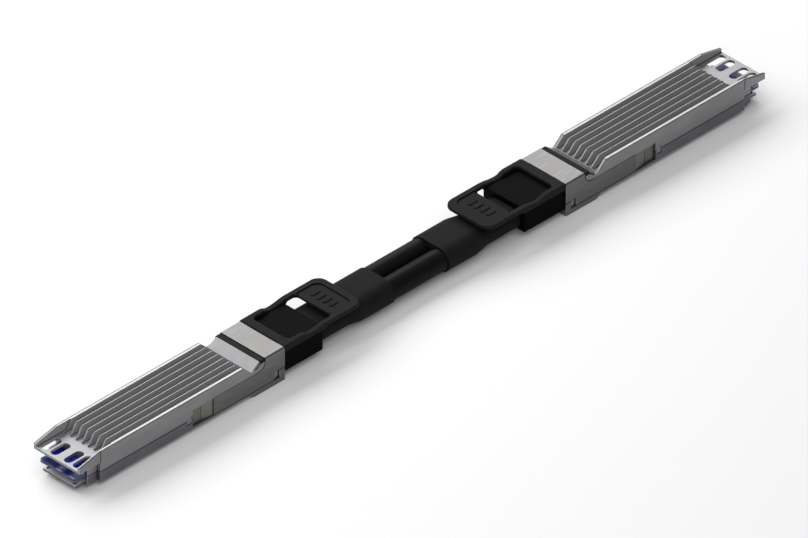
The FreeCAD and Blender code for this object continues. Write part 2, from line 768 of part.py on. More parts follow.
    # The key that drops into the bottom shell's notch
    key_x = p.pocket_end + s.key_start
    key = rectangle(key_x, up(s.key_low), key_x + s.key_length, up(s.seam_height))
    key_outer = p.half - s.key_sink
    piece.pad("far_key", "XZ", [key], p.inner, key_outer)
    piece.pad("near_key", "XZ", [key], -key_outer, -p.inner)
    face = rectangle(key_x, up(s.seam_height), key_x + s.key_length, up(s.key_high))
    piece.cut("far_key_face", "XZ", [face], key_outer, p.half + CLEAR)
    piece.cut("near_key_face", "XZ", [face], -p.half - CLEAR, -key_outer)

    piece.pad("boss", "XY", boss_outline(0), up(s.seam_height), up(s.ceiling))
    thread = screw_circle(s.screw_diameter + s.bond_gap)
    piece.cut("screw_hole", "XY", thread, up(s.seam_height), up(s.screw_top + s.fit_gap))

    # The fins, cut last from the block
    width = (s.shell_width - 2 * s.outer_fin - (CHANNELS - 1) * s.inner_fin) / CHANNELS
    first = -p.half + s.outer_fin + width / 2
    middles = [first + i * (width + s.inner_fin) for i in range(CHANNELS)]
    gaps = [
        rectangle(s.fin_start, y - width / 2, s.fin_end, y + width / 2) for y in middles
    ]
    piece.cut("fin_gaps", "XY", gaps, up(s.deck_height), up(s.shell_height + CLEAR))
    troughs = [trough(y, width / 2) for y in middles]
    piece.cut("channels", "XY", troughs, up(s.deck_height - s.channel_sink), up(s.deck_height))


def bent_strip(outer, high, low, side_thick, top_thick, radius):
    """The section of a strip folded over the shell: on the YZ plane, open below."""
    inner = outer - side_thick
    inner_radius = radius - side_thick
    corner_y = outer - radius
    corner_z = high - radius
    return [
        (outer, low),
        (outer, corner_z),
        (corner_y, high, corner_y, corner_z, LEFT),
        (-corner_y, high),
        (-outer, corner_z, -corner_y, corner_z, LEFT),
        (-outer, low),
        (-inner, low),
        (-inner, high - top_thick - inner_radius),
        (inner_radius - inner, high - top_thick, inner_radius - inner,
         high - top_thick - inner_radius, RIGHT),
        (inner - inner_radius, high - top_thick),
        (inner, high - top_thick - inner_radius, inner - inner_radius,
         high - top_thick - inner_radius, RIGHT),
        (inner, low),
    ]


def release_slider(end):
    piece = Piece("release_slider", end)
    low = up(s.skirt_line + s.bond_gap)
    section = bent_strip(
        p.half, up(s.bridge_height), low, s.sheet_thick, s.sheet_thick, s.bend_radius
    )
    piece.pad("strip", "YZ", [section], 0, s.arm_length)
    above_arm = [
        (s.arm_length + CLEAR, up(s.arm_top)),
        *slider_side(0),
        (s.bridge_length, up(s.shell_height + CLEAR)),
        (s.arm_length + CLEAR, up(s.shell_height + CLEAR)),
    ]
    piece.cut("above_arms", "XZ", [above_arm], -p.half - CLEAR, p.half + CLEAR)
    notch = rectangle(
        -CLEAR, up(0), s.stop_length + s.travel + s.bond_gap, up(s.stop_height + s.fit_gap)
    )
    piece.cut("stop_notches", "XZ", [notch], -p.half - CLEAR, p.half + CLEAR)
    tongue = rectangle(-s.tongue_length, -s.tongue_width / 2, 0, s.tongue_width / 2)
    bridge_low = s.bridge_height - s.sheet_thick
    piece.pad("tongue", "XY", [tongue], up(bridge_low), up(s.bridge_height))
    ear = rectangle(
        p.ear_x, p.half - s.sheet_thick - s.ear_depth, s.arm_length, p.half - s.sheet_thick
    )
    piece.pad("spring_ears", "XY", both_sides(ear), up(s.ear_low), up(s.ear_high))


def emi_gasket(end):
    piece = Piece("emi_gasket", end)
    section = bent_strip(
        p.half, up(s.gasket_top), up(s.gasket_low), p.recess, s.gasket_thick, s.bend_radius
    )
    piece.pad("strip", "YZ", [section], p.gasket_start, p.gasket_end)


def coil_spring():
    """A square wire wound round the X axis in short straight steps, its seat end at the origin."""
    wire = s.spring_wire.value / 2
    run = s.spring_length.value - 2 * wire
    steps = int(s.spring_turns.value * COIL_SIDES)
    along = FreeCAD.Vector(1, 0, 0)
    rings = []
    for i in range(steps + 1):
        angle = 2 * math.pi * i / COIL_SIDES
        outwards = FreeCAD.Vector(0, math.cos(angle), math.sin(angle))
        middle = along * (wire + run * i / steps) + outwards * s.spring_mean.value
        rings.append([middle + side * wire for side in (outwards, along, -outwards, -along)])
    outlines = [rings[0], rings[-1]]
    for ring, following in zip(rings, rings[1:]):
        for corner in range(4):
            a, b = ring[corner - 1], ring[corner]
            c, d = following[corner], following[corner - 1]
            outlines += [[a, b, c], [a, c, d]]
    faces = [Part.Face(Part.makePolygon(outline + outline[:1])) for outline in outlines]
    return Part.makeSolid(Part.makeShell(faces))


def return_springs(end):
    members = []
    for side, y in (("far", p.spring_y), ("near", -p.spring_y)):
        spring = doc.addObject("Part::Feature", f"{side}_spring{end.suffix}")
        spring.Shape = coil_spring()
        bind(spring, ".Placement.Base.x", p.spring_seat)
        bind(spring, ".Placement.Base.y", y)
        bind(spring, ".Placement.Base.z", up(p.spring_z))
        members.append(spring)
    group("return_springs", end, members)


def paddle_card(end):
    piece = Piece("paddle_card", end)
    front = s.shell_length + s.card_reach
    narrow, wide = s.card_width / 2, s.card_body_width / 2
    step = p.cavity_end - s.fit_gap
    plan = [
        (s.card_rear, -wide),
        (step, -wide),
        (step, -narrow),
        (front - s.card_chamfer, -narrow),
        (front, s.card_chamfer - narrow),
        (front, narrow - s.card_chamfer),
        (front - s.card_chamfer, narrow),
        (step, narrow),
        (step, wide),
        (s.card_rear, wide),
    ]
    piece.pad("board", "XY", [plan], up(s.card_low), up(p.card_high))
    piece.cut("boss_window", "XY", boss_outline(s.fit_gap), up(s.card_low), up(p.card_high))


def contact_pads(end):
    members = []
    front = s.shell_length + s.card_reach - s.pad_back
    count = int(s.pad_count.value)
    for face, low in (("upper", up(p.card_high)), ("lower", up(s.card_low - s.pad_thick))):
        for i in range(count):
            y = (i - (count - 1) / 2) * s.pad_pitch - s.pad_width / 2
            sizes = {"Length": s.pad_length, "Width": s.pad_width, "Height": s.pad_thick}
            name = f"{face}_pad_{i}{end.suffix}"
            members.append(primitive("Box", name, sizes, (front - s.pad_length, y, low)))
    group("contact_pads", end, members)


def housing_screw(end):
    low = up(s.screw_sink)
    head = primitive(
        "Cone",
        "screw_head" + end.suffix,
        {"Radius1": s.screw_head / 2, "Radius2": s.screw_diameter / 2, "Height": p.screw_flare},
        (s.screw_place, 0, low),
    )
    length = s.screw_top - s.screw_sink - p.screw_flare
    shank = primitive(
        "Cylinder",
        "screw_shank" + end.suffix,
        {"Radius": s.screw_diameter / 2, "Height": length},
        (s.screw_place, 0, low + p.screw_flare),
    )
    shank.Placement.Rotation = FreeCAD.Rotation()
    screw = combine("Fuse", "screw" + end.suffix, head, shank)
    group("housing_screw", end, [screw])


def block_section(low, ledge, high, half, plateau):
    return [
        (half, low),
        (half, ledge),
        (plateau, ledge),
        (plateau, high),
        (-plateau, high),
        (-plateau, ledge),
        (-half, ledge),
        (-half, low),
    ]


def rear_block(end):
    piece = Piece("rear_block", end)
    section = block_section(
        up(s.block_low),
        up(s.ledge_height),
        up(s.plateau_height),
        s.block_width / 2,
        s.plateau_width / 2,
    )
    piece.pad("block", "YZ", [section], -s.block_length, 0)
    rear = -s.block_length.value
    side_height = (s.ledge_height - s.block_low).value

    def outer_edge(edge):
        box = edge.BoundBox
        tall = box.ZLength > side_height / 2
        upright = tall and box.YLength < NEAR and abs(box.XMin - rear) < NEAR
        long = box.XLength > s.block_length.value / 2
        along = long and abs(box.ZMax - up(s.block_low).value) < NEAR
        return upright or along

    piece.dress("Chamfer", "edge_bevels", s.block_chamfer, outer_edge)
    plug_half = p.skirt_inner - s.fit_gap
    plug = rectangle(
        -plug_half, up(s.well_floor + s.fit_gap), plug_half, up(s.well_ceiling - s.fit_gap)
    )
    piece.pad("plug", "YZ", [plug], 0, s.plug_length)
    bores = both_sides_across(
        circle(p.cable_y, up(s.cable_height), s.core_diameter + 2 * s.bond_gap)
    )
    piece.cut("core_bores", "YZ", bores, -s.block_length - CLEAR, s.plug_length + CLEAR)


def relief_section(width, height, flat):
    """Flat top and bottom, bevels beside them, and sides rounded about the cables' axes."""
    middle = up(s.cable_height)
    edge = flat / 2
    radius = width / 2 - p.cable_y
    shoulder = p.cable_y + radius * math.cos(ROUND_TURN)
    rise = radius * math.sin(ROUND_TURN)
    return [
        (edge, middle - height / 2),
        (shoulder, middle - rise),
        (shoulder, middle + rise, p.cable_y, middle, LEFT),
        (edge, middle + height / 2),
        (-edge, middle + height / 2),
        (-shoulder, middle + rise),
        (-shoulder, middle - rise, -p.cable_y, middle, LEFT),
        (-edge, middle - height / 2),
    ]


def strain_relief(end):
    piece = Piece("strain_relief", end)
    neck = relief_section(s.neck_width, s.neck_height, s.neck_flat)
    collar = relief_section(s.collar_width, s.collar_height, s.collar_flat)
    piece.pad("neck", "YZ", [neck], -s.neck_end, -s.block_length)
    piece.loft("ramp", "YZ", [(-s.neck_end, neck), (-s.collar_start, collar)])
    piece.pad("collar", "YZ", [collar], -s.collar_end, -s.collar_start)
    core = circle(p.cable_y, up(s.cable_height), s.core_diameter + 2 * s.bond_gap)
    piece.cut(
        "core_bores", "YZ", both_sides_across(core), -s.jacket_end, -s.block_length + CLEAR
    )
    jacket = circle(p.cable_y, up(s.cable_height), s.cable_diameter + 2 * s.bond_gap)
    piece.cut(
        "jacket_bores", "YZ", both_sides_across(jacket), -s.collar_end - CLEAR, -s.jacket_end
    )


def wave(x0, z0, x1, z1):
    """Two equal arcs that lead from one level to another, level at both ends."""
    run = x0 - x1
    rise = z1 - z0
    radius = (run * run + rise * rise) / (4 * rise)
    middle_x = (x0 + x1) / 2
    middle_z = (z0 + z1) / 2
    turn = RIGHT if rise.value > 0 else LEFT
    return [
        (middle_x, middle_z, x0, z0 + radius, turn),
        (x1, z1, x1, z1 - radius, -turn),
    ]


def pull_tab(end):
    piece = Piece("pull_tab", end)
    dip_x = -s.dip_start - s.dip_fall
    grip_x = dip_x - s.dip_rise
    grip_low = s.tab_grip_height - s.tab_rear_thick
    step = grip_low - s.tab_low
    side = [
        (0, up(s.tab_height)),
        (-s.dip_start, up(s.tab_height)),
        *wave(-s.dip_start, up(s.tab_height), dip_x, up(s.dip_height)),
        *wave(dip_x, up(s.dip_height), grip_x, up(s.tab_grip_height)),
        (-s.tab_length, up(s.tab_grip_height)),
        (-s.tab_length, up(grip_low)),
        (-s.block_length - 2 * step, up(grip_low)),
        (-s.block_length - step, up(s.tab_low)),
        (0, up(s.tab_low)),
    ]
    half = s.tab_width / 2
    piece.pad("side", "XZ", [side], -half, half)
    rear = -s.tab_length.value

    def rear_corner(edge):
        box = edge.BoundBox
        tall = box.ZLength > s.tab_rear_thick.value / 2
        return tall and box.XLength < NEAR and abs(box.XMin - rear) < NEAR

    piece.dress("Fillet", "corners", s.tab_corner, rear_corner)

    inside = half - s.rail_width
    opening_rear = -s.front_rim - s.opening_length
    c = s.opening_corner
    opening = [
        (opening_rear + c, -inside),
        (-s.front_rim - c, -inside),
        (-s.front_rim, c - inside, -s.front_rim - c, c - inside, LEFT),
        (-s.front_rim, inside - c),
        (-s.front_rim - c, inside, -s.front_rim - c, inside - c, LEFT),
        (opening_rear + c, inside),
        (opening_rear, inside - c, opening_rear + c, inside - c, LEFT),
        (opening_rear, c - inside),
        (opening_rear + c, -inside, opening_rear + c, c - inside, LEFT),
    ]
    top = up(s.tab_height + CLEAR)
    piece.cut("finger_opening", "XY", [opening], up(s.tab_low - CLEAR), top)
    panel_rear = s.rear_rim - s.tab_length
    g = s.grip_corner
    panel = [
        (opening_rear + s.bond_gap, -inside),
        (opening_rear + s.bond_gap, inside),
        (panel_rear + g, inside),
        (panel_rear, inside - g, panel_rear + g, inside - g, LEFT),
        (panel_rear, g - inside),
        (panel_rear + g, -inside, panel_rear + g, g - inside, LEFT),
    ]
    panel_top = s.tab_grip_height - s.grip_sink
    piece.cut("grip_panel", "XY", [panel], up(panel_top), top)
    ribs = int(s.rib_count.value)
    middle_x = (opening_rear + panel_rear) / 2
    outlines = []
    for i in range(ribs):
        y = (i - (ribs - 1) / 2) * s.rib_pitch
        half_x, half_y = s.rib_length / 2, s.rib_width / 2
        outlines.append(rectangle(middle_x - half_x, y - half_y, middle_x + half_x, y + half_y))
    piece.pad("grip_ribs", "XY", outlines, up(panel_top), up(panel_top + s.rib_height))
    under_rim = rectangle(-s.front_rim - c, -inside, CLEAR, inside)
    rim_low = s.plateau_height + s.fit_gap
    piece.cut("under_rim", "XY", [under_rim], up(s.tab_low - CLEAR), up(rim_low))
    tongue_half = s.tongue_width / 2 + s.bond_gap
    tongue_slot = rectangle(
        -tongue_half,
        up(s.bridge_height - s.sheet_thick - s.bond_gap),
        tongue_half,
        up(s.bridge_height + s.bond_gap),
    )
    piece.cut("tongue_slot", "YZ", [tongue_slot], -s.tongue_length - s.bond_gap, CLEAR)


def shielded_cores(end):
    members = []
    for side, y in (("far", p.cable_y), ("near", -p.cable_y)):
        sizes = {"Radius": s.core_diameter / 2, "Height": s.jacket_end + s.core_end}
        at = (-s.jacket_end, y, up(s.cable_height))
        members.append(primitive("Cylinder", f"{side}_core{end.suffix}", sizes, at))
    group("shielded_cores", end, members)


def hexagon_bar(name, half, at):
    """A six-sided bar along X, as long as a crimp ring, with flats above and below."""
    sizes = {"Circumradius": 2 * half / math.sqrt(3), "Height": s.ring_length}
    bar = primitive("Prism", name, sizes, at)
    bar.Placement.Rotation = SIDEWAYS * FreeCAD.Rotation(FreeCAD.Vector(0, 0, 1), 30)
    return bar


def crimp_rings(end):
    members = []
    for side, y in (("far", p.cable_y), ("near", -p.cable_y)):
        at = (s.ring_start, y, up(s.cable_height))
        outer = hexagon_bar(f"{side}_ring_outside{end.suffix}", p.ring_half, at)
        bore = hexagon_bar(f"{side}_ring_bore{end.suffix}", p.ring_half - s.ring_wall, at)
        members.append(combine("Cut", f"{side}_ring{end.suffix}", outer, bore))
    group("crimp_rings", end, members)


def twinax_pairs(end):
    """Flat insulated pairs from the braids' ends to the card, eight above it and eight below."""
    land = s.card_rear + s.pair_land
    bend = s.card_rear - s.pair_land
    members = []
    for row, sign, seat in (("upper", 1, p.card_high), ("lower", -1, s.card_low)):
        lift = sign * s.pair_rise
        thick = sign * s.pair_thick
        side = [
            (s.core_end, up(seat + lift)),
            (bend, up(seat)),
            (land, up(seat)),
            (land, up(seat + thick)),
            (bend, up(seat + thick)),
            (s.core_end, up(seat + lift + thick)),
        ]
        for i in range(2 * HALF_ROW):
            across = 1 if i < HALF_ROW else -1
            middle = across * (s.pair_inner + i % HALF_ROW * s.pair_pitch)
            name = f"{row}_pair_{i}{end.suffix}"
            sketch = doc.addObject("Sketcher::SketchObject", name + "_sketch")
            sketch.Placement.Rotation = FreeCAD.Rotation(FreeCAD.Vector(1, 0, 0), 90)
            bind(sketch, ".Placement.Base.y", middle + s.pair_width / 2)
            draw(sketch, side)
            pair = doc.addObject("Part::Extrusion", name)
            pair.Base = sketch
            pair.DirMode = "Normal"
            pair.Solid = True
            bind(pair, "LengthFwd", s.pair_width)
            members.append(pair)
    group("twinax_pairs", end, members)


def cable(name, y):
    """One jacketed cable, from its cut end in one collar to its cut end in the other."""
    length = 2 * (s.rear_face - s.jacket_end)
    at = (-length / 2, y, up(s.cable_height))
    sizes = {"Radius": s.cable_diameter / 2, "Height": length}
    obj = primitive("Cylinder", name, sizes, at)
    obj.Label = name
    finished.append(obj)


doc = FreeCAD.newDocument("direct_attach_cable")
sheet = doc.addObject("Spreadsheet::Sheet", "Sizes")
for row, (alias, value, note) in enumerate(SIZES, start=1):
    sheet.set(f"A{row}", note)
    sheet.set(f"B{row}", str(value))
    sheet.setAlias(f"B{row}", alias)
doc.recompute()
s = types.SimpleNamespace(
    **{alias: Size(float(sheet.get(alias)), "Sizes." + alias) for alias, _, _ in SIZES}
)
p = shared_places()
finished = []

ENDS = [
    types.SimpleNamespace(suffix="_a", sign=-1, turned=180),
    types.SimpleNamespace(suffix="_b", sign=1, turned=0),
]
MODULE_PIECES = [
    bottom_shell,
    top_shell,
    release_slider,
    pull_tab,
    emi_gasket,
    return_springs,
    paddle_card,
    contact_pads,
    housing_screw,
    rear_block,
    strain_relief,
    shielded_cores,
    crimp_rings,
    twinax_pairs,
]
for module_end in ENDS:
    for make in MODULE_PIECES:
        make(module_end)
cable("cable_near", -p.cable_y)
cable("cable_far", p.cable_y)
doc.recompute()

for obj in doc.Objects:
    if "Invalid" in obj.State or "Error" in obj.State:
        raise RuntimeError(f"{obj.Name} failed: {obj.State}")
os.makedirs("parts", exist_ok=True)
for node in finished:
    shape = node.Shape
    if shape.isNull() or not shape.isValid() or shape.Volume <= 0:
        raise RuntimeError(f"{node.Label} has no valid solid")
    shape.exportStep(os.path.join("parts", node.Label + ".step"))
print(len(finished), "nodes written")
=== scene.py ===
"""Finish of a direct attach copper cable: two finned plug modules joined by two round cables.

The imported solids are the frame. Each finished piece starts from its own solid or from a
bmesh shape, takes its place from the frame, and rides on the body that carries it.
Metres throughout: X along the cable, Y across it, Z up from the feet.
"""

import math

import bmesh
import bpy
from bpy.props import FloatProperty, FloatVectorProperty, IntProperty, PointerProperty
from mathutils import Matrix, Vector
from mathutils.bvhtree import BVHTree


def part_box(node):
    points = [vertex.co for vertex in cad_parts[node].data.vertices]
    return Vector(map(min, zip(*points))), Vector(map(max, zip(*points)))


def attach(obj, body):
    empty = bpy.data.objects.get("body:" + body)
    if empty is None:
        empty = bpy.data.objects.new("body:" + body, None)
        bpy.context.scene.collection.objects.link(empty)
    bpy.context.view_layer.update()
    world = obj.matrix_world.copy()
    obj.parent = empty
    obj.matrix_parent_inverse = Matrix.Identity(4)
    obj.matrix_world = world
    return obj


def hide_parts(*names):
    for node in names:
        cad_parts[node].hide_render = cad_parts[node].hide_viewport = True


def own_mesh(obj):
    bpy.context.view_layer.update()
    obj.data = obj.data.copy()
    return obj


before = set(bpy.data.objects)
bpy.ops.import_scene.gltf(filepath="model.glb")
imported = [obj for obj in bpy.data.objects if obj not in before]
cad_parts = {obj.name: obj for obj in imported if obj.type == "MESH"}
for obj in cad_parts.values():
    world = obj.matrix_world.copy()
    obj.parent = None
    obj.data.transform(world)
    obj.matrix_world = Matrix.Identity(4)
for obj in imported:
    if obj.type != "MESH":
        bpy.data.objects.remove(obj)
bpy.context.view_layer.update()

bl_info = {
    "name": "Direct attach cable finish",
    "version": (1, 0, 0),
    "blender": (4, 5, 0),
    "location": "View3D > Sidebar > Cable",
    "description": "Dresses a packed cable assembly in finished surfaces and sets up its stage",
    "category": "Object",
}

MM = 0.001
ENDS = {"a": -1, "b": 1}  # a module's suffix, and the side of the origin that it is on
WELD = 0.001 * MM  # solids come as loose triangles, whose corners are merged within this
NEAR = 5 * WELD  # what is this close to a plane lies on it
SIDE_BAND = 0.1 * MM  # a face this close to the shells' outsides is one of their outer sides
ALONG = 0.9  # a direction with more than this share of its length along an axis runs along it
SLOPED = 0.8  # with more than this share of it, it may slope a little
ACROSS = 0.3  # with less than this share of it, it runs across the axis
BEYOND = 1.0  # past the cable's ends in every direction
LEVEL = math.radians(3)  # a face that leans less than this from an axis lies level with it
FLAT = math.radians(0.4)  # triangles that turn less than this are one flat face
SHARP = math.radians(25)  # edges that turn more than this are rounded
CREASE = math.radians(40)  # edges that still turn more than this stay crisp
ROOM = 2.2  # a face beside a rounded edge is at least this many times as wide as the rounding
JOINT = 0.35 * MM  # a rounded edge that is this near to another piece is darkened with painted shade
REAR_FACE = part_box("top_shell_b")[0].x
SHELL_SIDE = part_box("top_shell_b")[1].y
SHELL_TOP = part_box("top_shell_b")[1].z
# Face layers that the materials read. The seam layer carries painted shade (dark lines at joints,
# edges and recesses), another a painted highlight on the fins' tops, the nose plate and the lip,
# and gap makes faces matt and paler, partly with painted light.
PAINTS = ("edge", "seam", "gap", "painted_highlight", "pocket", "side")


# Values that a user may change


def length(name, description, millimetres, least=0.0):
    return FloatProperty(
        name=name,
        description=description,
        default=millimetres * MM,
        min=least,
        unit="LENGTH",
        precision=5,
    )


def colour(name, description, value):
    return FloatVectorProperty(
        name=name,
        description=description,
        default=value,
        min=0.0,
        max=1.0,
        size=3,
        subtype="COLOR",
    )


def count(name, description, value, least):
    return IntProperty(name=name, description=description, default=value, min=least)


def share(name, description, value):
    return FloatProperty(
        name=name,
        description=description,
        default=value,
        min=0.0,
        max=1.0,
        subtype="FACTOR",
    )


class CableEdges(bpy.types.PropertyGroup):
    """How far the edges of each kind of piece are rounded."""

    cast: length("Cast", "Edges of the die-cast shells", 0.16)
    sheet: length("Sheet", "Stamped edges of the release slider", 0.15)
    gasket: length("Gasket", "Edges of the elastomer strip", 0.2)
    tab_rim: length("Tab rims", "Rounded rims of the pull tab's rails and opening", 0.55)
    moulded: length("Moulded", "Other edges of the moulded pieces", 0.2)
    card: length("Card", "Routed edges of the card", 0.05)
    small: length("Small parts", "Edges of crimp rings, pairs, contacts and screws", 0.02)
    channel_corner: length("Channel ends", "Roundings of the channels' front corners", 1.1)
    fold: length("Pocket fold", "Softened fold in the floor of the latch pockets", 0.12)


class CableColours(bpy.types.PropertyGroup):
    """Base colours of the finishes."""

    cover: colour("Top shell", "Satin nickel on the finned casting", (0.23, 0.23, 0.237))
    # Paler than grit blasting alone gives: partly painted light against the shade between the
    # fins, in the ears and on the lip.
    blasted_and_lit: colour("Blasted fins", "Grit-blasted walls between the fins", (0.31, 0.31, 0.32))
    base: colour("Bottom shell", "Satin nickel on the lower casting", (0.14, 0.135, 0.155))
    slider: colour("Slider", "Stamped stainless sheet", (0.15, 0.147, 0.144))
    # Also the colour of the painted highlights on the fins' tops, the nose plate and the lip.
    bright: colour("Rubbed edge", "Metal rubbed bright along its edges", (0.62, 0.62, 0.62))
    pocket: colour("Latch pocket", "Olive floor of the latch pockets", (0.19, 0.19, 0.168))
    tab: colour("Pull tab", "Black moulded tab", (0.010, 0.010, 0.0104))
    block: colour("Rear block", "Black moulded block", (0.002, 0.002, 0.0021))
    boot: colour("Strain relief", "Soft black overmoulding", (0.009, 0.009, 0.0093))
    jacket: colour("Jacket", "Black extruded jacket", (0.003, 0.003, 0.0032))
    gasket: colour("Gasket", "Filled black elastomer", (0.006, 0.006, 0.006))
    mask: colour("Solder mask", "Blue mask of the card", (0.007, 0.010, 0.36))
    laminate: colour("Laminate", "Bare glass laminate at the card's edges", (0.022, 0.05, 0.035))
    # A dark blue-grey, far darker than bright gold.
    gold: colour("Gold", "Contacts, dulled by handling", (0.022, 0.021, 0.045))
    steel: colour("Steel", "Springs and screws", (0.56, 0.56, 0.57))
    tin: colour("Tinned braid", "Braid of the cables' shields", (0.62, 0.61, 0.59))
    brass: colour("Brass", "Crimp rings", (0.60, 0.46, 0.22))
    foil: colour("Foil", "Wrap of the wire pairs", (0.66, 0.68, 0.72))


class CableMarks(bpy.types.PropertyGroup):
    """How strongly the marked places differ from the finish round them."""

    # Painted highlights: how much the fins' tops and the nose plate are brightened.
    outer_highlight: share("Outer fins", "Brightness of the outer fins' tops", 0.5)
    inner_highlight: share("Inner fins", "Brightness of the inner fins' tops", 0.34)
    nose_highlight: share("Nose plate", "Brightness of the nose plate", 0.15)
    # Strength of the painted shade along the fins' tops.
    fin_line: share("Fin lines", "Darkness of the lines along the fins' tops", 0.9)
    pocket: share("Pockets", "Olive in the latch pockets", 0.9)
    # Painted shade on the pockets' flat ends.
    pocket_shade: share("Pocket dust", "Darkness of the latch pockets' flat ends", 0.18)


class CableSizes(bpy.types.PropertyGroup):
    """Sizes of what is modelled here from a bare shape."""

    jacket_diameter: length("Cable", "Diameter over the jacket", 8.8)
    jacket_reach: length("Cable reach", "Middle of the cable to a jacket's cut end", 27.3)
    cable_spacing: length("Cable spacing", "Between the two cables' axes", 9.1)
    cable_height: length("Cable height", "Cables' axes above the floor", 6.3)
    lip_hole: length("Lip hole", "Small holes in the lip under the card", 1.4)
    lip_hole_back: length("Lip hole inset", "Lip's front edge to the holes' centres", 1.5)
    lip_hole_spread: length("Lip hole spread", "Between the two holes' centres", 13.2)
    channel_front: length("Channel front", "Rear face to the channels' front ends", 87.7)
    channel_bow: length("Channel bow", "How far back a channel's front corners may lie", 1.0)
    channel_depth: length("Channel depth", "Depth of the channels under the deck", 0.9)
    fin_start: length("Fin start", "Rear face to the fins' rear feet", 16.4)
    fin_height: length("Fin height", "Fins' top over the deck", 3.6)
    outer_fin: length("Outer fin", "Width of the two outer fins", 1.3)
    pocket_start: length("Pocket start", "Rear face to the latch pockets' rear ends", 35.1)
    pocket_end: length("Pocket end", "Rear face to the latch pockets' front ends", 45.2)
    pocket_depth: length("Pocket depth", "Depth of the latch pockets in the sides", 1.0)
    lip_start: length("Lip start", "Rear face to the start of the lip under the card", 94.8)
    shell_seam: length("Shell seam", "Joint of the shells above the feet", 6.07)
    ear_start: length("Ear start", "Rear face to the line where the ears begin", 90.0)
    line: length("Line", "Width of a dark line at a joint or an ear", 0.44)
    spring_wire: length("Spring wire", "Diameter of the return springs' wire", 0.34)
    spring_turns: count("Spring turns", "Open turns between a spring's closed ends", 7, least=2)
    travel: length("Travel", "How far the slider compresses the springs", 2.3)
    grip_sink: length("Grip sink", "Tab's top to the grip panel's floor", 0.4)
    grip_rim: length("Grip rim", "Tab's top to where the panel's walls count as dark", 0.1)
    drive: length("Screw drive", "Hexagon recess of the housing screws, across its flats", 1.3)
    drive_depth: length("Drive depth", "Depth of the hexagon recess", 0.6)
    braid_diameter: length("Braid", "Diameter over the braided shield", 6.4)
    braid_depth: length("Braid depth", "Outside of the braid to the wrapped bundle", 0.16)
    braid_strip: length("Braid strip", "Width of one carrier's wires", 0.62)
    braid_lay: length("Braid lay", "Length in which a carrier goes once round", 22.0)
    braid_carriers: count("Carriers", "Strips of the braid that wind each way", 12, least=4)


class CableStage(bpy.types.PropertyGroup):
    """Camera, light and floor."""

    picture_width: length("Picture width", "Width that the picture spans at the cable", 283.76)
    lens: FloatProperty(
        name="Lens",
        description="Focal length, long because the view is all but parallel",
        default=1080.0,
        min=1.0,
        subtype="DISTANCE_CAMERA",
    )
    aim_right: length("Aim right", "Origin to the picture's centre, rightwards", 0.20, least=-1.0)
    aim_up: length("Aim up", "Origin to the picture's centre, upwards", 5.45, least=-1.0)
    world: share("Surround", "Brightness of the even light from all round", 0.25)
    key: FloatProperty(name="Key", description="Long light behind", default=9.5, unit="POWER")
    top: FloatProperty(name="Top", description="Light overhead", default=3.0, unit="POWER")
    fill: FloatProperty(name="Fill", description="Light in front", default=2.4, unit="POWER")
    floor: colour("Floor", "Pale floor", (0.82, 0.82, 0.82))
    floor_reach: length("Floor reach", "Middle of the floor to its edges", 6000.0)


# Materials


class Value:
    """An output of a material's nodes. Arithmetic on it adds the Math nodes."""

    def __init__(self, look, socket):
        self.look = look
        self.socket = socket

    def __add__(self, other):
        return self.look.math("ADD", self, other)

    def __radd__(self, other):
        return self.look.math("ADD", other, self)

    def __sub__(self, other):
        return self.look.math("SUBTRACT", self, other)

    def __rsub__(self, other):
        return self.look.math("SUBTRACT", other, self)

    def __mul__(self, other):
        return self.look.math("MULTIPLY", self, other)


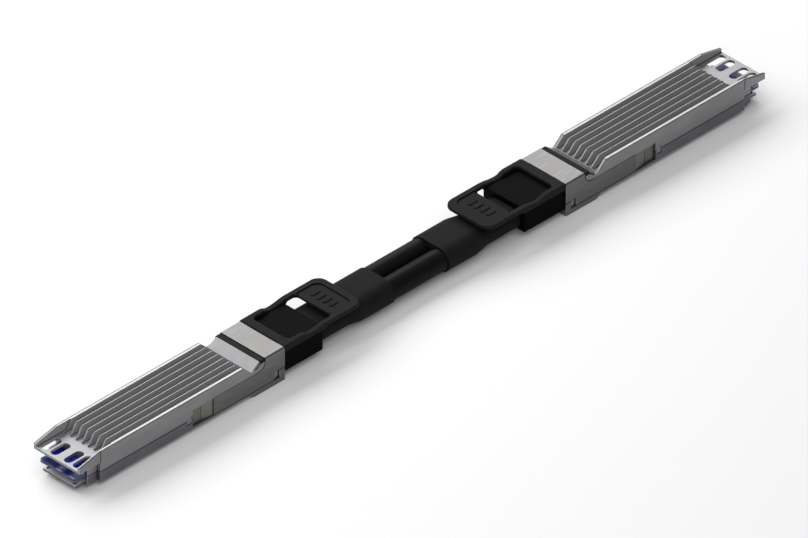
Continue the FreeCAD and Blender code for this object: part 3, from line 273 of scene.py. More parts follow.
class Look:
    """A material under construction, with its shader's constant sockets set at once."""

    def __init__(self, name, **constants):
        self.material = bpy.data.materials.new(name)
        self.material.use_nodes = True
        self.nodes = self.material.node_tree.nodes
        self.links = self.material.node_tree.links
        self.shader = self.nodes["Principled BSDF"]
        for socket, value in constants.items():
            self.feed(socket.replace("_", " ").title().replace("Ior", "IOR"), value)

    def feed(self, socket, value):
        """Sets or links one of the shader's sockets."""
        self.join(self.shader.inputs[socket], value)

    def join(self, socket, value):
        if isinstance(value, Value):
            self.links.new(value.socket, socket)
        elif socket.type == "RGBA" and len(value) == 3:
            socket.default_value = (*value, 1.0)
        else:
            socket.default_value = value

    def node(self, kind, sockets, output=0, **settings):
        """Adds a node with its settings, fills its sockets and gives one of its outputs."""
        node = self.nodes.new(kind)
        for setting, value in settings.items():
            setattr(node, setting, value)
        for name, value in sockets.items():
            if isinstance(name, int):
                socket = node.inputs[name]
            else:
                socket = next(x for x in node.inputs if x.name == name and x.enabled)
            self.join(socket, value)
        outputs = [x for x in node.outputs if x.enabled]
        if isinstance(output, str):
            return Value(self, next(x for x in outputs if x.name == output))
        return Value(self, outputs[output])

    def math(self, operation, a, b):
        return self.node("ShaderNodeMath", {0: a, 1: b}, operation=operation)

    def place(self, stretch=(1.0, 1.0, 1.0)):
        """Object coordinates, scaled along each axis."""
        here = self.node("ShaderNodeTexCoord", {}, output="Object")
        if stretch == (1.0, 1.0, 1.0):
            return here
        return self.node("ShaderNodeMapping", {"Vector": here, "Scale": stretch})

    def noise(self, grain, detail=3.0, stretch=(1.0, 1.0, 1.0)):
        """Noise from 0 to 1 whose lumps are about grain metres across."""
        sockets = {"Vector": self.place(stretch), "Scale": 1.0 / grain, "Detail": detail}
        return self.node("ShaderNodeTexNoise", sockets, output="Fac")

    def wave(self, stretch, scale, distortion, **settings):
        """Bands from 0 to 1 across the directions that are stretched."""
        sockets = {"Vector": self.place(stretch), "Scale": scale, "Distortion": distortion}
        return self.node("ShaderNodeTexWave", sockets, output="Fac", **settings)

    def ramp(self, value, low, high):
        """0 below low, 1 above high, and even between them."""
        slope = self.node("ShaderNodeValToRGB", {"Fac": value})
        black, white = slope.socket.node.color_ramp.elements
        black.position, white.position = low, high
        return slope

    def attribute(self, name):
        return self.node("ShaderNodeAttribute", {}, output="Fac", attribute_name=name)

    def joint(self, reach):
        """1 deep in a joint or a corner, down to 0 where nothing is within reach: the share of
        painted shade, from ambient occlusion.
        """
        sockets = {"Distance": reach}
        clear = self.node("ShaderNodeAmbientOcclusion", sockets, output="AO", samples=6)
        return 1.0 - self.ramp(clear, 0.42, 0.92)

    def paint_shade(self, reach, depth, unshaded, shade_colour):
        """Feeds the base colour: unshaded, darkened with painted shade from ambient occlusion in
        joints and corners within reach, and on the faces in the seam layer.
        """
        # Painted shade: occlusion and the seam layer darken the base colour.
        shade_amount = self.joint(reach) * depth + self.attribute("seam") * 0.9
        self.feed("Base Color", self.mix(shade_amount, unshaded, shade_colour))

    def mix(self, factor, a, b):
        """Colour a where factor is 0, and colour b where it is 1."""
        sockets = {"Factor": factor, "A": a, "B": b}
        return self.node("ShaderNodeMix", sockets, output="Result", data_type="RGBA")

    def bump(self, height, depth):
        """Raises the surface by up to depth metres where height is 1."""
        sockets = {"Height": height, "Strength": 1.0, "Distance": depth}
        self.feed("Normal", self.node("ShaderNodeBump", sockets))


def times(rgb, factor):
    return tuple(min(1.0, x * factor) for x in rgb)


def cast_metal(name, rgb, colours):
    """Satin nickel on a die casting: fine grain, faint flow marks, rubbed edges.
    Between the fins, in the ears and on the lip the finish is matt from grit blasting and paler,
    the paleness partly painted light; the fins' tops, the nose plate and the lip carry a painted
    highlight, and the floors of the latch pockets are olive. Joints, crevices and marked lines get
    painted shade."""
    bright, blasted_and_lit = colours.bright, colours.blasted_and_lit
    look = Look(name)
    grain = look.noise(0.16 * MM, detail=4.0)
    flow = look.noise(5 * MM, detail=5.0, stretch=(0.35, 1.0, 1.0))
    patches = look.ramp(flow, 0.36, 0.66)
    rub = look.attribute("edge") * look.ramp(look.noise(0.9 * MM, detail=4.0), 0.34, 0.6)
    toned = look.mix(patches, times(rgb, 0.9), times(rgb, 1.08))
    gap = look.attribute("gap")
    # Between the fins, in the ears and on the lip the colour is paler: partly grit blasting,
    # partly painted light against the shade there.
    toned = look.mix(gap, toned, look.mix(grain, times(blasted_and_lit, 0.85), times(blasted_and_lit, 1.15)))
    toned = look.mix(look.attribute("pocket"), toned, colours.pocket)
    # Rubbed edges are wear; the fins' tops, the nose plate and the lip are brightened by a painted
    # highlight.
    brightened = look.mix(rub * 0.4 + look.attribute("painted_highlight"), toned, bright)
    # Painted shade in joints, crevices and along the marked lines darkens the base colour.
    look.paint_shade(0.7 * MM, 0.85, unshaded=brightened, shade_colour=times(rgb, 0.06))
    look.feed("Metallic", 0.75 - gap * 0.55)
    look.feed("Roughness", 0.38 + grain * 0.12 + patches * 0.05 - rub * 0.14 + gap * 0.19)
    look.bump(grain, 0.012 * MM)
    return look.material


def sheet_metal(name, rgb, bright):
    """Stamped stainless with a fine brushing along the cable."""
    look = Look(name, metallic=1.0)
    lines = look.noise(0.09 * MM, detail=2.0, stretch=(0.018, 1.0, 1.0))
    scratches = look.ramp(look.noise(0.35 * MM, detail=3.0, stretch=(0.05, 1.0, 1.0)), 0.58, 0.68)
    cloud = look.noise(7 * MM, detail=3.0)
    rub = look.attribute("edge") * look.ramp(look.noise(0.7 * MM), 0.3, 0.55)
    toned = look.mix(lines, times(rgb, 0.88), times(rgb, 1.14))
    brightened = look.mix(rub * 0.6 + scratches * 0.12, toned, bright)
    # Painted shade in joints, crevices and along the marked lines darkens the base colour.
    look.paint_shade(0.5 * MM, 0.85, unshaded=brightened, shade_colour=times(rgb, 0.06))
    look.feed("Roughness", 0.26 + lines * 0.14 + cloud * 0.08)
    look.bump(lines, 0.006 * MM)
    return look.material


def moulded_plastic(name, rgb, gloss, grain_size, depth, roughness):
    """Black moulding with an eroded matt texture, a little paler along its rounded edges, partly
    wear where it is handled and partly a painted highlight.
    """
    look = Look(name, specular_ior_level=gloss)
    grain = look.noise(grain_size, detail=3.0)
    cloud = look.ramp(look.noise(6 * MM, detail=4.0), 0.35, 0.7)
    rub = look.attribute("edge") * look.ramp(look.noise(1.4 * MM, detail=4.0), 0.4, 0.7)
    toned = look.mix(cloud, times(rgb, 0.88), times(rgb, 1.15))
    # Paler rounded edges: wear, and a painted highlight.
    brightened = look.mix(rub * 0.5, toned, times(rgb, 2.2))
    # Painted shade in joints, crevices and along the marked lines darkens the base colour.
    look.paint_shade(0.8 * MM, 0.8, unshaded=brightened, shade_colour=times(rgb, 0.1))
    look.feed("Roughness", roughness + grain * 0.12 - rub * 0.12 + cloud * 0.03)
    look.bump(grain, depth)
    return look.material


def extruded_jacket(name, rgb):
    """Satin jacket with faint die lines along it and the cores just showing through."""
    look = Look(name, specular_ior_level=0.08)
    lines = look.noise(0.3 * MM, detail=2.0, stretch=(0.03, 1.0, 1.0))
    pores = look.noise(0.12 * MM, detail=3.0)
    swell = look.noise(9 * MM, detail=2.0, stretch=(0.4, 1.0, 1.0))
    look.feed("Base Color", look.mix(swell, times(rgb, 0.8), times(rgb, 1.3)))
    look.feed("Roughness", 0.4 + lines * 0.1 + pores * 0.08)
    look.bump(lines * 0.7 + pores * 0.3, 0.014 * MM)
    return look.material


def filled_elastomer(name, rgb):
    """Elastomer filled with metal flakes that sparkle faintly."""
    look = Look(name, specular_ior_level=0.15)
    flakes = look.ramp(look.noise(0.07 * MM, detail=1.0), 0.66, 0.72)
    lumps = look.noise(0.3 * MM, detail=4.0)
    look.feed("Base Color", look.mix(flakes, rgb, (0.08, 0.08, 0.08)))
    look.feed("Metallic", flakes * 0.8)
    look.feed("Roughness", 0.62 + lumps * 0.2 - flakes * 0.3)
    look.bump(lumps, 0.02 * MM)
    return look.material


def masked_card(name, mask, laminate):
    """Glossy mask over a woven laminate, which is bare on the sides."""
    look = Look(name, coat_roughness=0.12)
    weave = look.wave((1.0, 0.0, 0.0), 0.55 / MM, 0.6)
    cross = look.wave((0.0, 1.0, 0.0), 0.55 / MM, 0.6, bands_direction="Y")
    threads = weave * 0.5 + cross * 0.5
    bare = look.attribute("side")
    blue = look.mix(threads, times(mask, 0.85), times(mask, 1.15))
    glass = look.mix(threads, times(laminate, 0.75), times(laminate, 1.3))
    look.feed("Base Color", look.mix(bare, blue, glass))
    look.feed("Roughness", 0.28 + bare * 0.3)
    look.feed("Coat Weight", 0.6 - bare * 0.6)
    look.bump(threads, 0.006 * MM)
    return look.material


def plated_metal(name, rgb, roughness):
    """Plated or drawn metal with a faint cloud and fine streaks."""
    look = Look(name, metallic=1.0)
    cloud = look.noise(1.2 * MM, detail=3.0)
    lines = look.noise(0.05 * MM, detail=2.0, stretch=(0.1, 1.0, 1.0))
    look.feed("Base Color", look.mix(cloud, times(rgb, 0.85), times(rgb, 1.12)))
    look.feed("Roughness", roughness + cloud * 0.08 + lines * 0.08)
    look.bump(lines, 0.003 * MM)
    return look.material


def foil_wrap(name, rgb):
    """Aluminised film lapped round a wire pair, with a ridge at each lap."""
    look = Look(name, metallic=0.85)
    laps = look.wave((1.0, 0.35, 0.0), 0.11 / MM, 0.4, wave_profile="SAW")
    wrinkles = look.noise(0.4 * MM, detail=4.0)
    look.feed("Base Color", look.mix(laps, times(rgb, 0.8), rgb))
    look.feed("Roughness", 0.24 + wrinkles * 0.2)
    look.bump(laps * 0.6 + wrinkles * 0.4, 0.03 * MM)
    return look.material


# Pieces


def whole_faces(node):
    """A solid's mesh with its triangles merged into whole flat faces."""
    bm = bmesh.new()
    bm.from_mesh(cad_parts[node].data)
    bmesh.ops.remove_doubles(bm, verts=bm.verts, dist=WELD)
    bmesh.ops.dissolve_limit(
        bm,
        angle_limit=FLAT,
        use_dissolve_boundaries=False,
        verts=bm.verts,
        edges=bm.edges,
    )
    add_paints(bm)
    return bm


def as_mesh(name, bm):
    mesh = bpy.data.meshes.new(name)
    bm.to_mesh(mesh)
    bm.free()
    return mesh


def add_object(name, data):
    obj = bpy.data.objects.new(name, data)
    bpy.context.scene.collection.objects.link(obj)
    return obj


def add_paints(bm):
    """Adds the faces' layers that the materials read as attributes."""
    for name in PAINTS:
        if name not in bm.faces.layers.float:
            bm.faces.layers.float.new(name)


def paint(bm, name):
    return bm.faces.layers.float[name]


def has_room(edge, width):
    """Whether the faces beside an edge are wide enough for it to be rounded."""
    along = (edge.verts[1].co - edge.verts[0].co).normalized()
    for vert in edge.verts:
        for other in vert.link_edges:
            reach = other.other_vert(vert).co - vert.co
            crosses = abs(reach.normalized().dot(along)) < ALONG
            if other is not edge and crosses and reach.length < ROOM * width:
                return False
    return True


def turning(edge):
    return edge.calc_face_angle(0.0) if len(edge.link_faces) == 2 else 0.0


def bevel(bm, chosen, width, segments, clamp=True):
    """Bevels edges to a width and gives the new faces."""
    made = bmesh.ops.bevel(
        bm,
        geom=chosen,
        offset=width,
        offset_type="OFFSET",
        segments=segments,
        profile=0.5,
        affect="EDGES",
        clamp_overlap=clamp,
        material=-1,
    )
    return made["faces"]


def round_edges(bm, width, segments=2, choose=None):
    """Rounds the sharp convex edges that have room, and marks the new faces as edge."""
    chosen = [
        edge
        for edge in bm.edges
        if turning(edge) > SHARP
        and edge.is_convex
        and (choose is None or choose(edge))
        and has_room(edge, width)
    ]
    made = bevel(bm, chosen, width, segments, clamp=False)
    layer = paint(bm, "edge")
    for face in made:
        if face.calc_area() < face.calc_perimeter() * width:
            face[layer] = 1.0


def shade_joint_edges(bm, node):
    """Darkens the rounded edges along a joint with another solid with painted shade, and takes
    them out of the rubbed edges.
    """
    others = bmesh.new()
    for name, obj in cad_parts.items():
        if name != node:
            others.from_mesh(obj.data)
    tree = BVHTree.FromBMesh(others)
    others.free()
    seam = paint(bm, "seam")
    edge = paint(bm, "edge")
    for face in bm.faces:
        if face[edge] and tree.find_nearest(face.calc_center_median(), JOINT)[0] is not None:
            face[edge], face[seam] = 0.0, 1.0


def settle(piece, body, nodes=()):
    """Puts a finished piece on its body and the solids that it stands for."""
    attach(piece, body)
    if nodes:
        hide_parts(*nodes)


def new_piece(name, bm, material):
    """Turns a bmesh into an object at the origin, smooth across gentle turns."""
    bmesh.ops.dissolve_degenerate(bm, dist=WELD / 10, edges=bm.edges)
    for face in bm.faces:
        face.smooth = True
    for edge in bm.edges:
        edge.smooth = turning(edge) < CREASE
    mesh = as_mesh(name, bm)
    mesh.materials.append(material)
    piece = add_object(name, mesh)
    normals = piece.modifiers.new("Flat faces", "WEIGHTED_NORMAL")
    normals.keep_sharp = True
    return piece


def add_rod(bm, radius, depth, matrix, segments=32):
    """Adds a closed rod along Z about its middle, put in place by a matrix."""
    bmesh.ops.create_cone(
        bm,
        cap_ends=True,
        segments=segments,
        radius1=radius,
        radius2=radius,
        depth=depth,
        matrix=matrix,
    )


def cut_away(bm, cutter):
    """Cuts the closed mesh in cutter out of bm, and gives the result."""
    base = add_object("cut_base", as_mesh("cut_base", bm))
    tool = add_object("cut_tool", as_mesh("cut_tool", cutter))
    boolean = base.modifiers.new("Cut", "BOOLEAN")
    boolean.operation = "DIFFERENCE"
    boolean.solver = "EXACT"
    boolean.object = tool
    depsgraph = bpy.context.evaluated_depsgraph_get()
    cut = bmesh.new()
    cut.from_object(base, depsgraph)
    for obj in (base, tool):
        mesh = obj.data
        bpy.data.objects.remove(obj)
        bpy.data.meshes.remove(mesh)
    add_paints(cut)
    return cut


def dress_node(node, material, width):
    """Keeps a solid whose form is right, softens its edges and gives it its finish."""
    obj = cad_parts[node]
    obj.data.materials.clear()
    obj.data.materials.append(material)
    weld = obj.modifiers.new("Merge", "WELD")
    weld.merge_threshold = WELD
    soften = obj.modifiers.new("Soften", "BEVEL")
    soften.width = width
    soften.segments = 2
    soften.limit_method = "ANGLE"
    soften.angle_limit = SHARP


def cover_pieces(context):
    """Finned top shells."""
    sizes, edges = context.scene.cable_sizes, context.scene.cable_edges
    colours, marks = context.scene.cable_colours, context.scene.cable_marks
    metal = cast_metal("satin nickel casting", colours.cover, colours)
    front = REAR_FACE + sizes.channel_front
    joint, half_line = sizes.shell_seam, sizes.line / 2

    def channel_corner(edge):
        start, end = (vert.co for vert in edge.verts)
        upright = (start - end).xy.length < WELD
        deep = abs(edge.calc_length() - sizes.channel_depth) < NEAR
        return upright and deep and front - sizes.channel_bow < abs(start.x) < front + NEAR

    for suffix, sign in ENDS.items():
        bm = whole_faces("top_shell_" + suffix)
        corners = [edge for edge in bm.edges if channel_corner(edge)]
        bevel(bm, corners, edges.channel_corner, segments=7)
        mark_gaps(bm, sizes, marks)
        mark_pockets(bm, sizes, edges, marks)
        round_edges(bm, edges.cast)
        darken_fin_edges(bm, sizes, edges, marks)
        shade_joint_edges(bm, "top_shell_" + suffix)
        # Painted shade: dark lines along the shells' joint and where the ears begin.
        draw_line(bm, (-BEYOND, BEYOND), (joint, joint + half_line))
        ear = sign * (REAR_FACE + sizes.ear_start)
        draw_line(bm, (ear - half_line, ear + half_line), (joint, BEYOND))
        piece = new_piece("finned_cover_" + suffix, bm, metal)
        settle(piece, "housing", ["top_shell_" + suffix])


def mark_gaps(bm, sizes, marks):
    """Marks the walls and floors between the fins and in the ears as gap, made paler partly with
    painted light, and gives the fins' tops and the nose plate a painted highlight.
    """
    gap, painted_highlight = paint(bm, "gap"), paint(bm, "painted_highlight")
    deck = SHELL_TOP - sizes.fin_height - sizes.channel_depth
    for face in bm.faces:
        middle = face.calc_center_median()
        from_rear = abs(middle.x) - REAR_FACE
        between_fins = abs(middle.y) < SHELL_SIDE - sizes.outer_fin + NEAR
        along = sizes.fin_start < from_rear < sizes.channel_front + NEAR
        above = middle.z > deck - NEAR
        top = middle.z > SHELL_TOP - NEAR
        ahead = from_rear > sizes.channel_front
        ear = ahead and above and middle.y * face.normal.y < -ALONG * abs(middle.y)
        face[gap] = 1.0 if ear or between_fins and along and above and not top else 0.0
        # Painted highlight on the fins' tops and on the nose plate.
        if top:
            outermost = abs(middle.y) > SHELL_SIDE - sizes.outer_fin
            face[painted_highlight] = marks.outer_highlight if outermost else marks.inner_highlight
        elif ahead and face.normal.z > ALONG:
            face[painted_highlight] = marks.nose_highlight


def mark_pockets(bm, sizes, edges, marks):
    """Marks the latch pockets' floors as pocket, darkens their flat ends with painted shade, and
    softens the fold across each into a line of painted shade.
    """
    pocket, seam = paint(bm, "pocket"), paint(bm, "seam")
    for face in bm.faces:
        middle = face.calc_center_median()
        along = sizes.pocket_start < abs(middle.x) - REAR_FACE < sizes.pocket_end
        inset = SIDE_BAND < SHELL_SIDE - abs(middle.y) < sizes.pocket_depth + NEAR
        if along and inset and abs(face.normal.y) > ALONG:
            face[pocket] = marks.pocket
            # The flat ends of the pockets are darker by painted shade.
            if abs(face.normal.x) < math.sin(LEVEL):
                face[seam] = marks.pocket_shade
    folds = [edge for edge in bm.edges if all(face[pocket] for face in edge.link_faces)]
    # The softened fold is a line of painted shade.
    for face in bevel(bm, folds, edges.fold, segments=1):
        face[seam] = 1.0


def darken_fin_edges(bm, sizes, edges, marks):
    """Darkens the fins' rounded top edges, and a line along the outer fins' outsides, with painted
    shade.
    """
    edge, seam = paint(bm, "edge"), paint(bm, "seam")
    inside = SHELL_SIDE - sizes.line
    for place in (-inside, inside):
        score(bm, 1, place)
    for face in bm.faces:
        middle = face.calc_center_median()
        rounded = face[edge] and middle.z > SHELL_TOP - 2 * edges.cast
        raised = face.normal.z > ACROSS and middle.z > SHELL_TOP - sizes.fin_height
        if rounded or raised and abs(middle.y) > inside:
            face[edge], face[seam] = 0.0, marks.fin_line


def score(bm, axis, place):
    """Cuts the faces along the plane where one axis has this value."""
    at, across = Vector(), Vector()
    at[axis], across[axis] = place, 1.0
    geometry = [*bm.verts, *bm.edges, *bm.faces]
    bmesh.ops.bisect_plane(bm, geom=geometry, dist=WELD, plane_co=at, plane_no=across)


def draw_line(bm, across, up):
    """Paints a band of the outer side faces with a dark line of painted shade, cut out between two
    X and two Z.
    """
    bands = {0: across, 2: up}
    for axis, places in bands.items():
        for place in places:
            if abs(place) < BEYOND:
                score(bm, axis, place)
    seam = paint(bm, "seam")
    for face in bm.faces:
        middle = face.calc_center_median()
        outwards = face.normal.y * middle.y > ALONG * abs(middle.y)
        outer = outwards and abs(middle.y) > SHELL_SIDE - SIDE_BAND
        if outer and all(low < middle[axis] < high for axis, (low, high) in bands.items()):
            face[seam] = 1.0


def base_pieces(context):
    """Bottom shells, with the two small holes of the lip."""
    sizes, edges = context.scene.cable_sizes, context.scene.cable_edges
    colours, joint = context.scene.cable_colours, sizes.shell_seam
    metal = cast_metal("satin nickel base casting", colours.base, colours)
    for suffix, sign in ENDS.items():
        node = "bottom_shell_" + suffix
        low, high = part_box(node)
        lip_edge = high.x if sign > 0 else low.x
        cutter = bmesh.new()
        x = lip_edge - sign * sizes.lip_hole_back
        for y in (-sizes.lip_hole_spread / 2, sizes.lip_hole_spread / 2):
            at = Matrix.Translation((x, y, (low.z + high.z) / 2))
            add_rod(cutter, sizes.lip_hole / 2, high.z - low.z, at)
        bm = cut_away(whole_faces(node), cutter)
        # The lip's top under the card is matt, paler and brightened: painted light against the
        # shade of the card above it.
        gap, painted_highlight = paint(bm, "gap"), paint(bm, "painted_highlight")
        for face in bm.faces:
            lip = abs(face.calc_center_median().x) - REAR_FACE > sizes.lip_start
            face[gap] = face[painted_highlight] = 1.0 if lip and face.normal.z > ALONG else 0.0
        round_edges(bm, edges.cast)
        shade_joint_edges(bm, node)
        # Painted shade: a dark line along the shells' joint.
        draw_line(bm, (-BEYOND, BEYOND), (joint - sizes.line / 2, joint))
        piece = new_piece("base_cover_" + suffix, bm, metal)
        settle(piece, "housing", [node])


def plain_pieces(name, node, body, material, width, segments=2):
    """A finished copy of a solid at each end, its edges rounded to one width."""
    for suffix in ENDS:
        bm = whole_faces(f"{node}_{suffix}")
        round_edges(bm, width, segments)
        shade_joint_edges(bm, f"{node}_{suffix}")
        piece = new_piece(f"{name}_{suffix}", bm, material)
        settle(piece, body.format(suffix), [f"{node}_{suffix}"])


def tab_pieces(context):
    """Pull tabs with rounded rims."""
    sizes, edges = context.scene.cable_sizes, context.scene.cable_edges
    colours = context.scene.cable_colours
    plastic = moulded_plastic(
        "eroded black moulding",
        colours.tab,
        gloss=0.06,
        grain_size=0.22 * MM,
        depth=0.03 * MM,
        roughness=0.5,
    )

    def top_rim(edge):
        """Whether an edge runs between an upright side and a top, which may slope a little."""
        upright = min(abs(face.normal.z) for face in edge.link_faces) < ACROSS
        return upright and max(face.normal.z for face in edge.link_faces) > SLOPED

    for suffix in ENDS:
        node = "pull_tab_" + suffix
        bm = whole_faces(node)
        round_edges(bm, edges.tab_rim, segments=4, choose=top_rim)
        round_edges(bm, edges.moulded)
        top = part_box(node)[1].z
        # Painted shade on the upright walls of the sunk grip panel.
        seam = paint(bm, "seam")
        for face in bm.faces:
            sunk = top - face.calc_center_median().z
            upright = abs(face.normal.z) < ACROSS
            face[seam] = 1.0 if upright and sizes.grip_rim < sunk < sizes.grip_sink else 0.0
        piece = new_piece("grip_tab_" + suffix, bm, plastic)
        settle(piece, "release_" + suffix, [node])


def card_pieces(context):
    """Paddle cards, blue on their faces and bare on their sides."""
    edges, colours = context.scene.cable_edges, context.scene.cable_colours
    look = masked_card("blue card", colours.mask, colours.laminate)
    for suffix in ENDS:
        node = "paddle_card_" + suffix
        bm = whole_faces(node)
        side = paint(bm, "side")
        for face in bm.faces:
            face[side] = 1.0 if abs(face.normal.z) < ACROSS else 0.0
        round_edges(bm, edges.card)
        piece = new_piece("edge_card_" + suffix, bm, look)
        settle(piece, "housing", [node])


def spring_pieces(context):
    """Return springs of round wire, closed at both ends."""
    sizes, colours = context.scene.cable_sizes, context.scene.cable_colours
    steel = plated_metal("drawn spring wire", colours.steel, 0.22)
    wire = sizes.spring_wire / 2
    closed = (sizes.spring_wire, 1)  # a closed end is one turn, as long as the wire is thick
    for suffix, sign in ENDS.items():
        node = "return_springs_" + suffix
        low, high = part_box(node)
        coil = (high.z - low.z) / 2 - wire
        free = high.x - low.x
        open_run = free - 3 * sizes.spring_wire  # without the closed ends and the wire itself
        bm = bmesh.new()
        for y in (low.y + coil + wire, high.y - coil - wire):
            start = Vector((low.x + wire, y, (low.z + high.z) / 2))
            wind(bm, start, coil, wire, (closed, (open_run, sizes.spring_turns), closed))
        bmesh.ops.recalc_face_normals(bm, faces=bm.faces)
        piece = new_piece("release_springs_" + suffix, bm, steel)
        settle(piece, "housing", [node])
        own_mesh(piece)


def wind(bm, start, coil, wire, runs):
    """Adds a round wire wound along X from the start, in runs of a length and its turns."""
    steps = 20  # of one turn
    turn = Matrix.Translation(start + Vector((0, 0, coil)))
    ring = bmesh.ops.create_circle(bm, segments=10, radius=wire, matrix=turn)["verts"]
    upright = Matrix.Rotation(math.pi / 2, 3, "X")
    bmesh.ops.rotate(bm, verts=ring, cent=turn.translation, matrix=upright)
    ends = list({edge for vert in ring for edge in vert.link_edges})
    bmesh.ops.contextual_create(bm, geom=ends)
    for run, turns in runs:
        spun = bmesh.ops.spin(
            bm,
            geom=ends + list({vert for edge in ends for vert in edge.verts}),
            cent=start,
            axis=(1, 0, 0),
            dvec=(run / turns / steps, 0, 0),
            angle=2 * math.pi * turns,
            steps=steps * turns,
            use_merge=False,
        )
        ends = [x for x in spun["geom_last"] if isinstance(x, bmesh.types.BMEdge)]
    bmesh.ops.contextual_create(bm, geom=ends)


def screw_pieces(context):
    """Housing screws with a hexagon recess in the countersunk head."""
    sizes, edges = context.scene.cable_sizes, context.scene.cable_edges
    steel = plated_metal("zinc-plated steel", context.scene.cable_colours.steel, 0.3)
    for suffix in ENDS:
        node = "housing_screw_" + suffix
        low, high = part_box(node)
        cutter = bmesh.new()
        at = Matrix.Translation(((low.x + high.x) / 2, (low.y + high.y) / 2, low.z))
        add_rod(cutter, sizes.drive / math.sqrt(3), 2 * sizes.drive_depth, at, segments=6)
        bm = cut_away(whole_faces(node), cutter)
        round_edges(bm, edges.small)
        piece = new_piece("case_screw_" + suffix, bm, steel)
        settle(piece, "housing", [node])


def core_pieces(context):
    """Braided shields over their wrapped pairs."""
    sizes, colours = context.scene.cable_sizes, context.scene.cable_colours
    tin = plated_metal("tinned braid", colours.tin, 0.3)
    low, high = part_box("shielded_cores_b")
    radius, run = sizes.braid_diameter / 2, high.x - low.x
    strips = [
        (way, i, braid_strip(sizes, radius, run, way, i))
        for way in (1, -1)
        for i in (0, 1)
    ]
    core = core_tube(radius - sizes.braid_depth, run)
    for suffix in ENDS:
        node = "shielded_cores_" + suffix
        low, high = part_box(node)
        bm = bmesh.new()
        for y in (low.y + radius, high.y - radius):
            start = Matrix.Translation((low.x, y, (low.z + high.z) / 2))
            add_copy(bm, core, start)
            for way, first, strip in strips:
                for i in range(first, sizes.braid_carriers, 2):
                    turn = Matrix.Rotation(2 * math.pi * i / sizes.braid_carriers, 4, "X")
                    add_copy(bm, strip, start @ turn)
        piece = new_piece("braided_cores_" + suffix, bm, tin)
        settle(piece, "housing", [node])
    for mesh in [core, *(strip for way, i, strip in strips)]:
        bpy.data.meshes.remove(mesh)


def add_copy(bm, mesh, matrix):
    """Adds a mesh to a bmesh, put in place by a matrix."""
    first = len(bm.verts)
    bm.from_mesh(mesh)
    bm.verts.ensure_lookup_table()
    bmesh.ops.transform(bm, matrix=matrix, verts=bm.verts[first:])


def core_tube(radius, run):
    """The wrapped bundle under the braid, from the origin along X."""
    bm = bmesh.new()
    lie = Matrix.Translation((run / 2, 0, 0)) @ Matrix.Rotation(math.pi / 2, 4, "Y")
    add_rod(bm, radius, run, lie)
    return as_mesh("core_tube", bm)


def braid_strip(sizes, radius, run, way, index):
    """One carrier's strip round the X axis, which passes over and under those that cross it."""
    turns = run / sizes.braid_lay
    steps = int(turns * sizes.braid_carriers * 5)  # five to each wave over and under
    half = sizes.braid_strip / 2
    thick, wave = 0.045 * MM, 0.035 * MM
    low = radius - thick - wave
    bm = bmesh.new()
    section = [(0, -half, low), (0, half, low), (0, half, low + thick), (0, -half, low + thick)]
    corners = [bm.verts.new(at) for at in section]
    face = bm.faces.new(corners)
    bmesh.ops.spin(
        bm,
        geom=[face, *face.edges, *corners],
        cent=(0, 0, 0),
        axis=(1, 0, 0),
        dvec=(run / steps, 0, 0),
        angle=way * 2 * math.pi * turns,
        steps=steps,
        use_merge=False,
    )
    bmesh.ops.recalc_face_normals(bm, faces=bm.faces)
    for vert in bm.verts:
        # Strips that wind the other way are met each time this phase gains half a turn.
        gone_round = 2 * math.pi * vert.co.x / sizes.braid_lay
        phase = sizes.braid_carriers * gone_round + math.pi * index
        vert.co += Vector((0, vert.co.y, vert.co.z)).normalized() * (way * wave * math.cos(phase))
    return as_mesh("braid_strip", bm)


# Stage


def lay_floor(stage):
    """Pale floor that the feet rest on."""
    bm = bmesh.new()
    bmesh.ops.create_grid(bm, x_segments=1, y_segments=1, size=stage.floor_reach)
    floor = add_object("floor", as_mesh("floor", bm))
    paper = Look("pale floor", roughness=0.9, specular_ior_level=0.1)
    speck = paper.noise(0.5 * MM, detail=2.0)
    tone = paper.mix(speck, times(stage.floor, 0.99), times(stage.floor, 1.01))
    paper.feed("Base Color", tone)
    floor.data.materials.append(paper.material)


def set_surround(scene):
    """Even white light from all round."""
    world = bpy.data.worlds.new("surround")
    world.use_nodes = True
    background = world.node_tree.nodes["Background"]
    background.inputs["Color"].default_value = (1, 1, 1, 1)
    background.inputs["Strength"].default_value = scene.cable_stage.world
    scene.world = world


def hang_lights(stage):
    """Soft lights that face the origin."""
    for name, at, size, power in (
        ("key_light", (0.0, 0.55, 0.50), (1.7, 0.5), stage.key),
        ("top_light", (-0.10, -0.25, 0.75), (0.9, 0.9), stage.top),
        ("fill_light", (-0.75, -0.60, 0.30), (0.8, 0.8), stage.fill),
    ):
        data = bpy.data.lights.new(name, "AREA")
        data.shape = "RECTANGLE"
        data.size, data.size_y = size
        data.energy = power
        light = add_object(name, data)
        light.location = at
        light.rotation_euler = (-Vector(at)).to_track_quat("-Z", "Y").to_euler()


def aim_camera(stage):
    """Camera that looks along an isometric line, from far enough for an all but parallel view."""
    right = Vector((1, -1, 0)).normalized()
    up = Vector((1, 1, 2)).normalized()
    back = Vector((-1, -1, 1)).normalized()
    data = bpy.data.cameras.new("camera")
    data.lens = stage.lens
    distance = stage.picture_width * data.lens / data.sensor_width
    data.clip_start = distance * 0.5
    data.clip_end = distance * 2
    camera = add_object("camera", data)
    camera.location = right * stage.aim_right + up * stage.aim_up + back * distance
    camera.rotation_euler = (-back).to_track_quat("-Z", "Y").to_euler()
    return camera


# Operators


